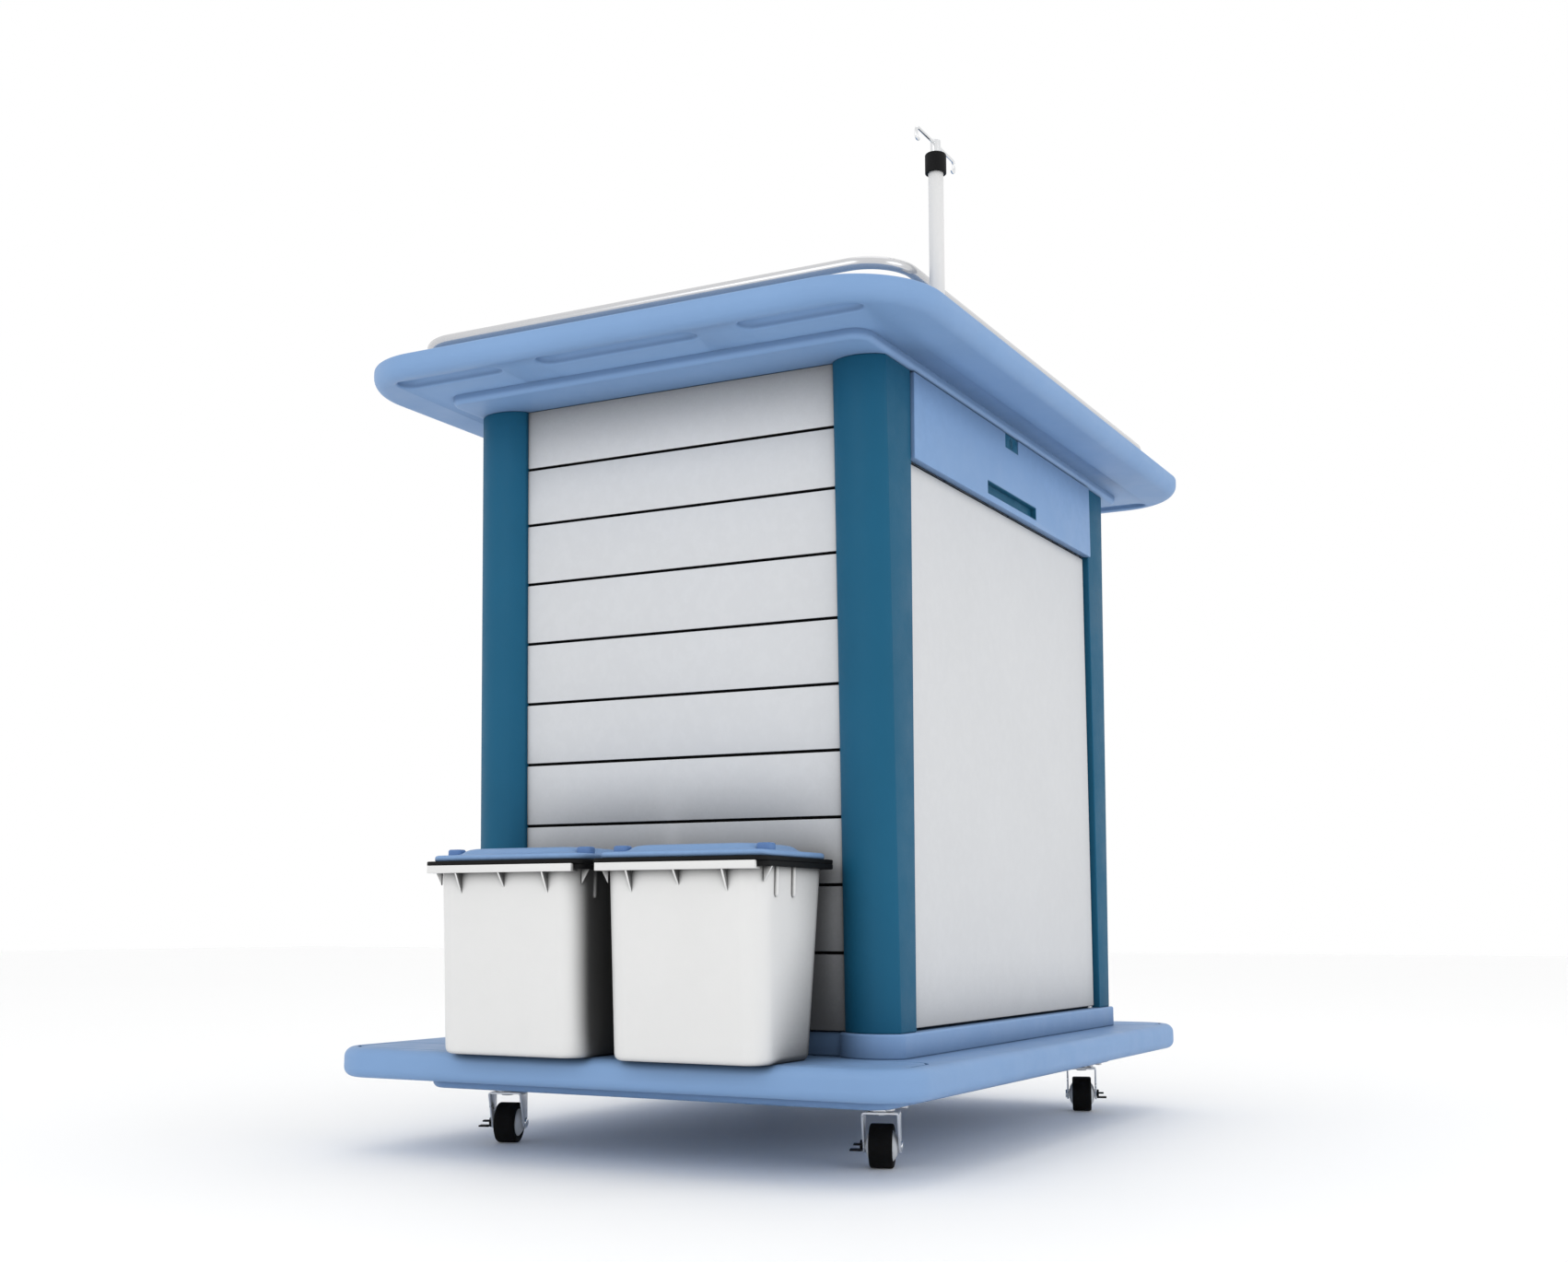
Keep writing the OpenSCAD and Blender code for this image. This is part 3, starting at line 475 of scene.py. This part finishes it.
# ---------- drip pole ----------
POLE = (-428.0, CAB_Y - 374.0)
POLE_TOP, COLLAR_Z, ROD_TOP = TOP_Z + 174, 1152.6, 1186.0
flange = [(9.02, -3), (18, -3), (18, 2.6), (17.4, 4.2), (16, 5.0), (11.2, 5.0), (10.4, 5.0), (9.02, 5.0)]
piece("pole_base_flange", [moved(lathe(flange, 48), at(*POLE, TOP_Z))],
      CHROME, "cabinet", ["pole_foot"])
outer = [(0, -170), (9, -170), (9, -1), (8.6, 0), (7.8, 0), (7.8, -24), (0, -24)]
piece("pole_outer_tube", [moved(lathe(outer, 56), at(*POLE, POLE_TOP))],
      TUBE_WHITE, "cabinet", ["pole_tube"])
collar = [(9.06, 0.6), (11.3, 0)] + arc(11.5, 1.1, 1.1, -90, 0, 4) + arc(10.3, 22.4, 2.3, 0, 90, 6)
collar += [(6.6, 24.7), (6.26, 24.3), (6.26, 11.7), (9.06, 11.7)]
piece("pole_twist_collar", [moved(lathe(collar, 56), at(*POLE, COLLAR_Z))],
      BLACK, "collar", ["pole_collar"])
inner = [(0, -183), (7.2, -183), (7.7, -182.4), (7.7, -174.6), (6.2, -174), (6.2, 0), (0, 0)]
piece("pole_inner_rod", [moved(lathe(inner, 40), at(*POLE, ROD_TOP))],
      CHROME, "pole_rod", ["pole_inner"])


def hook_bar():
    """The bar through the head: both ends bend down and curl inwards."""
    z, half, bend, tip, drop = ROD_TOP + 4, 56.0, 6.0, 3.5, 5.0
    right = arc(half - bend, z - bend, bend, 90, 0, 8) + [(half, z - bend - drop)]
    right += arc(half - tip, z - bend - drop, tip, 0, -150, 10)[1:]
    left = [(-x, w) for x, w in reversed(right)]
    return [(POLE[0] + x, POLE[1], w) for x, w in left + right]


head = lathe([(0, 0), (6.2, 0), (6.2, 7)] + arc(4.6, 7.4, 1.6, 0, 90, 5) + [(0, 9)], 40)
piece("hook_bar", [moved(head, at(*POLE, ROD_TOP)), tube(hook_bar(), 2.0, (0, 1, 0), n=16)],
      CHROME, "pole_rod", ["hook_head"], sharp=50)

# ---------- drawer ----------
FRONT = CAB_Y - 302.5      # outer face of the drawer front
SLOT_Z, LOCK_Z = 857.0, 938.0
FRONT_X = 334.5            # half width of the drawer front and of the door's free side


def front_box(half, depth0, depth1, z, half_h, grow=0.0):
    """Block on the drawer's middle, with depths measured in from its front face."""
    return box(-half, half, FRONT + depth0, FRONT + depth1, z - half_h, z + half_h + grow)


slot_cut = front_box(93.5, -1, 10, SLOT_Z, 9)
lock_cut = front_box(25, -1, 4, LOCK_Z, 10, grow=0.2)
piece("drawer_face", [box(-FRONT_X, FRONT_X, FRONT, FRONT + 12, 839, 948)],
      BLUE, "drawer", ["drawer_front"], bevel=1.2, cut=[[slot_cut], [lock_cut]])
piece("drawer_finger_cup", [front_box(93.4, 0.8, 10, SLOT_Z, 8.9)],
      TEAL, "drawer", ["drawer_pull"], bevel=0.5, cut=[[front_box(92, -1, 8.5, SLOT_Z, 7.5)]])
barrel_hole = moved(rod(7.05, -8, 8, 40), at(0, FRONT + 2, LOCK_Z, QUARTER, "X"))
piece("lock_escutcheon", [front_box(24.9, 1.2, 4, LOCK_Z, 9.9)],
      TEAL, "drawer", ["lock_plate"], bevel=0.5, cut=[[barrel_hole]])
barrel = lathe([(0, 0), (6.2, 0), (7, 0.8), (7, 17.5), (0, 17.5)], 40)
piece("lock_cylinder", [moved(barrel, at(0, FRONT + 1, LOCK_Z, -QUARTER, "X"))],
      LOCK, "lock", ["lock_barrel"], cut=[[front_box(0.8, -1, 5, LOCK_Z, 4)]])
piece("lock_cam", [box(-10.5, 4.5, FRONT + 18, FRONT + 20.5, LOCK_Z - 4, LOCK_Z + 4)],
      STEEL, "lock", bevel=0.8)
TRAY_X, TRAY_WALL = 323.0, 4.0
tray = box(-TRAY_X, TRAY_X, FRONT + 12, FRONT + 492, 848, 912)
inside_x = TRAY_X - TRAY_WALL
tray_inside = box(-inside_x, inside_x, FRONT + 12 + TRAY_WALL, FRONT + 492 - TRAY_WALL, 848 + TRAY_WALL, 913)
piece("drawer_box", [tray], INSIDE, "drawer", ["drawer_tray"], bevel=0.9, cut=[[tray_inside]])
RUNNER_Z, SHEET_T = 878.0, 1.2     # drawer runners: middle height, and sheet thickness
members = []
for s in (-1, 1):
    web_x, runner_y = TRAY_X + SHEET_T, (FRONT + 16, FRONT + 476)
    members.append(box(s * TRAY_X, s * web_x, *runner_y, RUNNER_Z - 11, RUNNER_Z + 11))
    members += [box(s * web_x, s * 329, *runner_y, RUNNER_Z + t * 11, RUNNER_Z + t * (11 - SHEET_T))
                for t in (-1, 1)]
piece("drawer_runner_members", members, STEEL, "drawer")

# ---------- door ----------
DOOR_Y, DOOR_PX = CAB_Y - 283.0, 326.5     # the door's pivot axis
DOOR_HALF, DOOR_Z0, DOOR_Z1, PIN_DEPTH = 8.0, 158.0, 836.0, 16.0
door_outline = [(DOOR_PX, DOOR_Y + DOOR_HALF), (-FRONT_X, DOOR_Y + DOOR_HALF), (-FRONT_X, DOOR_Y - DOOR_HALF)]
door_outline += arc(DOOR_PX, DOOR_Y, DOOR_HALF, -90, 90, 16)[:-1]
pin_hole = rod(3.6, -1, PIN_DEPTH + 1, 24)
piece("door_leaf", [prism(door_outline, DOOR_Z0, DOOR_Z1)],
      WHITE, "door", ["door_panel"], bevel=1.2,
      cut=[[moved(pin_hole, at(DOOR_PX, DOOR_Y, z))] for z in (DOOR_Z0, DOOR_Z1 - PIN_DEPTH)])

# ---------- casters ----------
CASTER_CX, CASTER_CY = 12.0, -2.0      # the middle of the four
CASTER_DX, CASTER_DY = 357.0, 266.0    # from there to each swivel axis
TRAIL, AXLE_Z, TURN = 10.0, 25.0, math.radians(19)
SHEET, LEG = 2.5, 22.0                 # fork sheet, half width over the legs
FORK_TOP, PLATE_Z = 64.7, 70.5
KING_R, AXLE_R = 5.0, 4.0
BOLT_PITCH = 20.0                      # from the swivel axis to each bolt, both ways


def fork_shape():
    """Pressed fork: one strip of sheet bent over the wheel, narrower towards the axle."""
    bend = 4.0
    path = [(-LEG, z) for z in (17.0, 17.6, 18.6, 20.2, 22.4, AXLE_Z, 34, 46, FORK_TOP - bend)]
    path += arc(bend - LEG, FORK_TOP - bend, bend, 180, 90, 6)[1:]
    path += [(x, FORK_TOP) for x in (-12, -6, 0)]
    path += [(-y, z) for y, z in reversed(path[:-1])]
    rings = []
    for k, (y, z) in enumerate(path):
        y0, z0 = path[max(k - 1, 0)]
        y1, z1 = path[min(k + 1, len(path) - 1)]
        normal = Vector((-(z1 - z0), y1 - y0)).normalized()
        if z < AXLE_Z:
            half = math.sqrt(max(64 - (AXLE_Z - z) ** 2, 1.0))
            x0, x1 = TRAIL - half, TRAIL + half
        else:
            share = min(1.0, (z - AXLE_Z) / (FORK_TOP - AXLE_Z))
            x0, x1 = TRAIL - 8 - 16 * share, TRAIL + 8 - 2 * share
        outer, inner = (y, z), (y - normal.x * SHEET, z - normal.y * SHEET)
        rings.append([(x0, *outer), (x1, *outer), (x1, *inner), (x0, *inner)])
    return loft(rings)


KING_HEAD = [(0, -4.5), (7, -4.5), (8, -3.5), (8, -2.6), (KING_R, -2.5)]
KING = lathe([(r, FORK_TOP + z) for r, z in KING_HEAD] + [(KING_R, 70), (0, 70)], 32)
AXLE = lathe([(0, -23.5), (3.7, -23.5), (AXLE_R, -23.2), (AXLE_R, 23.2), (3.7, 23.5), (0, 23.5)], 28)
AXLE_HEAD = lathe([(0, 0), (5.6, 0), (6, 0.4), (6, 1.5), (5.4, 2.2), (0, 2.6)], 24)
TREAD = [(17, -12.4), (19.5, -13.2), (21.5, -13.7)] + arc(22.2, -11.2, 2.8, -85, -8, 6)
TREAD += [(25.0, -8), (25.0, 0)]
TREAD_PROFILE = TREAD + [(r, -z) for r, z in reversed(TREAD[:-1])]
DOME = [(17, 12.4), (16.8, 13.3), (15.6, 14.4), (13.2, 16.2), (10.8, 17.4),
        (9.0, 17.9), (7.2, 18.2), (7.0, 19.0)]
HUB_PROFILE = [(4.05, -19.0)] + [(r, -z) for r, z in reversed(DOME)] + DOME + [(4.05, 19.0)]
CUP = lathe([(5.06, 65.0), (14.6, 65.0), (15.8, 65.3), (16.8, 66.2), (17, 67.4), (17, 69.4),
             (16, PLATE_Z), (5.06, PLATE_Z)], 48)
BOLT = lathe([(0, 67.5), (4.6, 67.5), (5.2, 68.1), (5.2, PLATE_Z), (0, PLATE_Z)], 6)
BRAKE_RING = lathe([(4.05, 0), (6.5, 0), (6.5, 2.6), (6.1, 3), (4.05, 3)], 32)

bolt_shapes, plate_shapes, cup_shapes = [], [], []
for x, y, name in CORNERS:
    spot_x, spot_y = CASTER_CX + x * CASTER_DX, CASTER_CY + y * CASTER_DY
    fork, wheel, brake = "fork_" + name, "wheel_" + name, "brake_" + name
    place = at(spot_x, spot_y, 0, TURN)
    axle = place @ at(TRAIL, 0, AXLE_Z, QUARTER, "X")
    hand = -x      # the brake is on the leg towards the back at the left end, the front at the right
    piece("caster_fork_" + name, [moved(fork_shape(), place), moved(KING, place)],
          ZINC, fork, [fork], bevel=0.5, steps=2)
    head_place = place @ at(TRAIL, -hand * LEG, AXLE_Z, hand * QUARTER, "X")
    piece("caster_axle_" + name, [moved(AXLE, axle), moved(AXLE_HEAD, head_place)],
          CHROME, fork, bevel=0.3, steps=2)
    piece("caster_tyre_" + name, [moved(lathe(TREAD_PROFILE, 72), axle)],
          TYRE, wheel, ["tyre_" + name], sharp=40)
    piece("caster_hub_" + name, [moved(lathe(HUB_PROFILE, 56), axle)],
          HUB, wheel, ["hub_" + name])
    # the brake in its own frame: z points away from the fork and hand * y points down
    press = place @ at(TRAIL, hand * (LEG + 0.3), AXLE_Z, -hand * QUARTER, "X")
    wings = [box(-15, 2, hand * 3, hand * 5, 0.4, 14), box(-11, 2, hand * -3, hand * -1, 0.4, 10),
             box(-6, 2, hand * -1.2, hand * 3.2, 0.4, 2.6)]
    piece("caster_brake_" + name, [moved(BRAKE_RING, press)],
          BLACK, brake, [brake], bevel=0.3, steps=2)
    piece("caster_brake_wings_" + name, [moved(wing, press) for wing in wings],
          BLACK, brake, bevel=0.6, cut=[[moved(rod(4.06, -1, 16, 28), press)]])
    flat = at(spot_x, spot_y, 0)
    plate_shapes.append(moved(slab(54, 54, 2.5, 5, 0.4, 0.4, PLATE_Z, n=6, k=3), flat))
    cup_shapes.append(moved(CUP, flat))
    for bx in (-BOLT_PITCH, BOLT_PITCH):
        for by in (-BOLT_PITCH, BOLT_PITCH):
            bolt_shapes.append(moved(BOLT, at(spot_x + bx, spot_y + by, 0, 0.4 * x + 0.2 * by)))
piece("caster_top_plates", plate_shapes, ZINC, "cabinet", ["caster_plates"])
piece("caster_bearing_cups", cup_shapes, CHROME, "cabinet")
piece("caster_bolt_heads", bolt_shapes, STEEL, "cabinet", ["caster_bolts"], bevel=0.3, steps=2)

# ---------- bins ----------
# Each bin is shaped with its back at x = 0 and its front towards +x, standing on z = 0.
BODY_H = 214.0
BIN_L = 180.0                    # depth of the rim, back to front
RIM_W, LID_W = 225.0, 217.0
BIN_BACK, BIN_MID, BIN_APART = -394.0, -4.5, 119.5     # place on the platform, and half the spacing
PIN_X, PIN_Z, PIN_R = 5.0, 230.0, 2.0
KNUCKLE_R = 4.7
SKIN, WEB = 3.0, 2.5             # thickness of the tub and of its webs


def bin_skin():
    """Tapered tub with rounded corners, foot radius, open top and an inner skin."""
    def ring(share, d, z):
        """Outline share of the way up the taper, set in by d."""
        x0, x1 = 28 - 24 * share, BIN_L - 21 + 11 * share
        plan = rounded(x1 - x0 - 2 * d, 200 + 6 * share - 2 * d, 28 - d, 12, (x0 + x1) / 2, 0)
        return [(x, y, z) for x, y in plan]
    foot = ((0, 12, 0.0), (0, 5, 0.3), (0, 3.0, 1.2), (0, 1.2, 3.0), (0.01, 0.3, 5.4), (0.03, 0, 8.0))
    rings = [ring(*step) for step in foot]
    rings += [ring(t / 10, 0, BODY_H * t / 10) for t in range(1, 11)]
    rings += [ring(1, SKIN, BODY_H)]
    rings += [ring(t / 10, SKIN, BODY_H * t / 10) for t in range(9, 0, -1)]
    rings += [ring(0.02, 4, 5), ring(0, 8, SKIN), ring(0, 14, SKIN)]
    return loft(rings)


def wedge(corners, thick):
    """Triangular web: corners of one face and the offset to the other."""
    other = [tuple(c + d for c, d in zip(corner, thick)) for corner in corners]
    return list(corners) + other, [(0, 1, 2), (5, 4, 3), (0, 3, 4, 1), (1, 4, 5, 2), (2, 5, 3, 0)]


def lip_web(y, depth):
    """Web under the comb lip at the front."""
    near, top = y - WEB / 2, BODY_H - SKIN
    corners = [(BIN_L - 14, near, top), (BIN_L + 1, near, top), (BIN_L - 13.6, near, top - depth)]
    return wedge(corners, (0, WEB, 0))


def side_web(side):
    """Web under the lip on the side wall, near the front."""
    x = BIN_L - 26
    corners = [(x, side * 101, BODY_H), (x, side * 111.5, BODY_H), (x, side * 101.5, BODY_H - 17)]
    return wedge(corners, (WEB, 0, 0))


def side_rib(x, side):
    """Upright peg on the side wall with a rounded lower end."""
    turns = [2 * math.pi * i / 16 for i in range(16)]
    return loft([[(x + r * math.cos(a), side * 103.5 + r * math.sin(a), BODY_H - down) for a in turns]
                 for down, r in ((0, 3.0), (29, 3.0), (31, 2.6), (32.3, 1.7), (33, 0.5))])


def frame_ring(l, w, r, band, z0, z1, cx, edge=0.8):
    """Flat rim with its own hole, edges eased."""
    outside = [(edge, z0), (0, z0 + edge), (0, z1 - edge), (edge, z1)]
    inside = [(band - d, z) for d, z in reversed(outside)]
    return loft([[(x, y, z) for x, y in rounded(l - 2 * d, w - 2 * d, max(r - d, 3), 10, cx, 0)]
                 for d, z in outside + inside], closed=True)


def lid_shape():
    """Domed lid: flat border, raised crown, rounded in plan; each step is (inset, height, radius)."""
    l, cx = BIN_L - 18, BIN_L / 2 + 2
    border = ((1, 0, 17), (0, 1, 18), (0, 4.4, 18), (0.8, 6, 17.2), (2.6, 6.9, 16),
              (6, 7.1, 16), (14, 7.4, 18))
    crown = ((19, 8.2, 20), (22, 10, 22), (24.5, 12.4, 22), (28, 14.2, 22), (33, 15.2, 21),
             (44, 15.9, 17), (60, 16.0, 10))
    return loft([[(x, y, z) for x, y in rounded(l - 2 * d, LID_W - 2 * d, r, 12, cx, 0)]
                 for d, z, r in border + crown])


for s, side in ((1, "left"), (-1, "right")):
    spot = at(BIN_BACK, BIN_MID + s * BIN_APART, DECK_Z) @ Matrix.Scale(-1, 4, (1, 0, 0))
    body, lid = "bin_" + side, "lid_" + side
    piece("bin_tub_" + side, [moved(bin_skin(), spot)],
          BIN_WHITE, body, ["bin_body_" + side], sharp=40)
    comb = [box(BIN_L - 3.7, BIN_L + 2, -103.5, 103.5, BODY_H - SKIN, BODY_H + 6),
            box(BIN_L - 15, BIN_L - 3.4, -101.5, 101.5, BODY_H - SKIN, BODY_H - 0.2)]
    comb += [lip_web(i * 62, 21 if i == 0 else 29) for i in (-1, 0, 1)] + [side_web(k) for k in (-1, 1)]
    piece("bin_comb_lip_" + side, [moved(c, spot) for c in comb],
          BIN_WHITE, body, bevel=0.5, steps=2)
    ribs = [side_rib(x, t) for t in (-1, 1) for x in (92, 132)]
    piece("bin_side_ribs_" + side, [moved(r, spot) for r in ribs], BIN_WHITE, body)
    rim = [frame_ring(BIN_L - 4, RIM_W, 14, 14, BODY_H, BODY_H + 6.2, BIN_L / 2 - 2),
           frame_ring(BIN_L, RIM_W, 14, 16, BODY_H + 6, BODY_H + 11, BIN_L / 2)]
    lugs = []
    for y in (-70, 62):
        outline = [(0, BODY_H + 10), (10, BODY_H + 10)] + arc(PIN_X, PIN_Z, 5, 0, 180, 12)
        lugs.append(loft([[(a, v, b) for a, b in outline] for v in (y, y + 8)]))
    hinge = spot @ at(PIN_X, 0, PIN_Z, QUARTER, "X")
    piece("bin_rim_frame_" + side, [moved(r, spot) for r in rim],
          BLACK, body, ["bin_rim_" + side])
    piece("bin_hinge_lugs_" + side, [moved(lug, spot) for lug in lugs],
          BLACK, body, bevel=0.6, steps=2, cut=[[moved(rod(PIN_R + 0.02, -80, 80), hinge)]])
    pin = lathe([(0, -72), (1.6, -72), (PIN_R, -71.6), (PIN_R, 71.6), (1.6, 72), (0, 72)], 24)
    piece("bin_hinge_pin_" + side, [moved(pin, hinge)], CHROME, body, ["bin_pin_" + side])
    up = spot @ at(0, 0, BODY_H + 11.3)
    notches = [[moved(box(-1, 12, y, y + 11, -1, 20), up)] for y in (-71.5, 60.5)]
    piece("bin_lid_shell_" + side, [moved(lid_shape(), up)],
          BLUE, lid, ["bin_lid_" + side], sharp=50, cut=notches)
    knuckles = []
    for y in (-60, 42):
        outline = arc(PIN_X, KNUCKLE_R, KNUCKLE_R, 90, 270, 14) + [(20, 0.4), (20, 6.8)]
        knuckles.append(loft([[(a, v, b) for a, b in outline] for v in (y, y + 18)]))
    lid_bore = moved(rod(PIN_R + 0.05, -80, 80), up @ at(PIN_X, 0, KNUCKLE_R, QUARTER, "X"))
    piece("bin_lid_knuckles_" + side, [moved(k, up) for k in knuckles],
          BLUE, lid, bevel=0.5, steps=2, cut=[[lid_bore]])
    stops = [moved(slab(16, 19, 10, 5, 0.5, 2.5, 5, BIN_L - 42, k * 94, 6, 4), up) for k in (-1, 1)]
    # the lid stops take the darker blue that paints in their shade
    piece("bin_lid_lugs_" + side, stops, SHADED_LUG_BLUE, lid)

# ---------- stage ----------
FLOOR_HALF = 14.0          # metres, as are the lights and the camera
corners = [(x * FLOOR_HALF, y * FLOOR_HALF, 0) for x, y in ((-1, -1), (1, -1), (1, 1), (-1, 1))]
floor_mesh = bpy.data.meshes.new("studio_floor")
floor_mesh.from_pydata(corners, [], [(0, 1, 2, 3)])
floor_mesh.materials.append(FLOOR)
studio_floor = bpy.data.objects.new("studio_floor", floor_mesh)
SCENE.collection.objects.link(studio_floor)

world = bpy.data.worlds.new("studio")
world.use_nodes = True
background = next(n for n in world.node_tree.nodes if n.type == "BACKGROUND")
background.inputs["Color"].default_value = (1.0, 1.0, 1.0, 1.0)
background.inputs["Strength"].default_value = 1.0
SCENE.world = world
SCENE.view_settings.view_transform = "Standard"


def area_light(name, place, target, size, power):
    """Round soft light at place, aimed at target."""
    data = bpy.data.lights.new(name, "AREA")
    data.shape, data.size, data.energy = "DISK", size, power
    ob = bpy.data.objects.new(name, data)
    ob.location = place
    ob.rotation_mode = "QUATERNION"
    ob.rotation_quaternion = (Vector(target) - Vector(place)).to_track_quat("-Z", "Y")
    SCENE.collection.objects.link(ob)


area_light("key", (-3.2, 0.6, 1.6), (0, 0, 0.5), 2.0, 12)
area_light("side", (-1.0, -3.6, 1.4), (0, 0, 0.6), 2.0, 14)
area_light("top", (0.5, -0.5, 4.0), (0, 0, 0.8), 3.0, 10)

# ---------- camera ----------
SENSOR, LENS = 36.0, 40.6208                # millimetres
SHIFT_X, SHIFT_Y = -0.0112515, 0.0061163    # shares of the picture's width
PITCH, YAW = 0.1581, 0.4808                 # radians up, and anticlockwise from +X
camera_data = bpy.data.cameras.new("camera")
camera_data.sensor_width, camera_data.lens = SENSOR, LENS
camera_data.shift_x, camera_data.shift_y = SHIFT_X, SHIFT_Y
camera_data.clip_start, camera_data.clip_end = 0.05, 60
camera = bpy.data.objects.new("camera", camera_data)
camera.location = (-2.2532, -1.1600, 0.2800)
ahead = Vector((math.cos(PITCH) * math.cos(YAW), math.cos(PITCH) * math.sin(YAW), math.sin(PITCH)))
camera.rotation_mode = "QUATERNION"
camera.rotation_quaternion = ahead.to_track_quat("-Z", "Y")
SCENE.collection.objects.link(camera)
SCENE.camera = camera

bpy.context.view_layer.update()
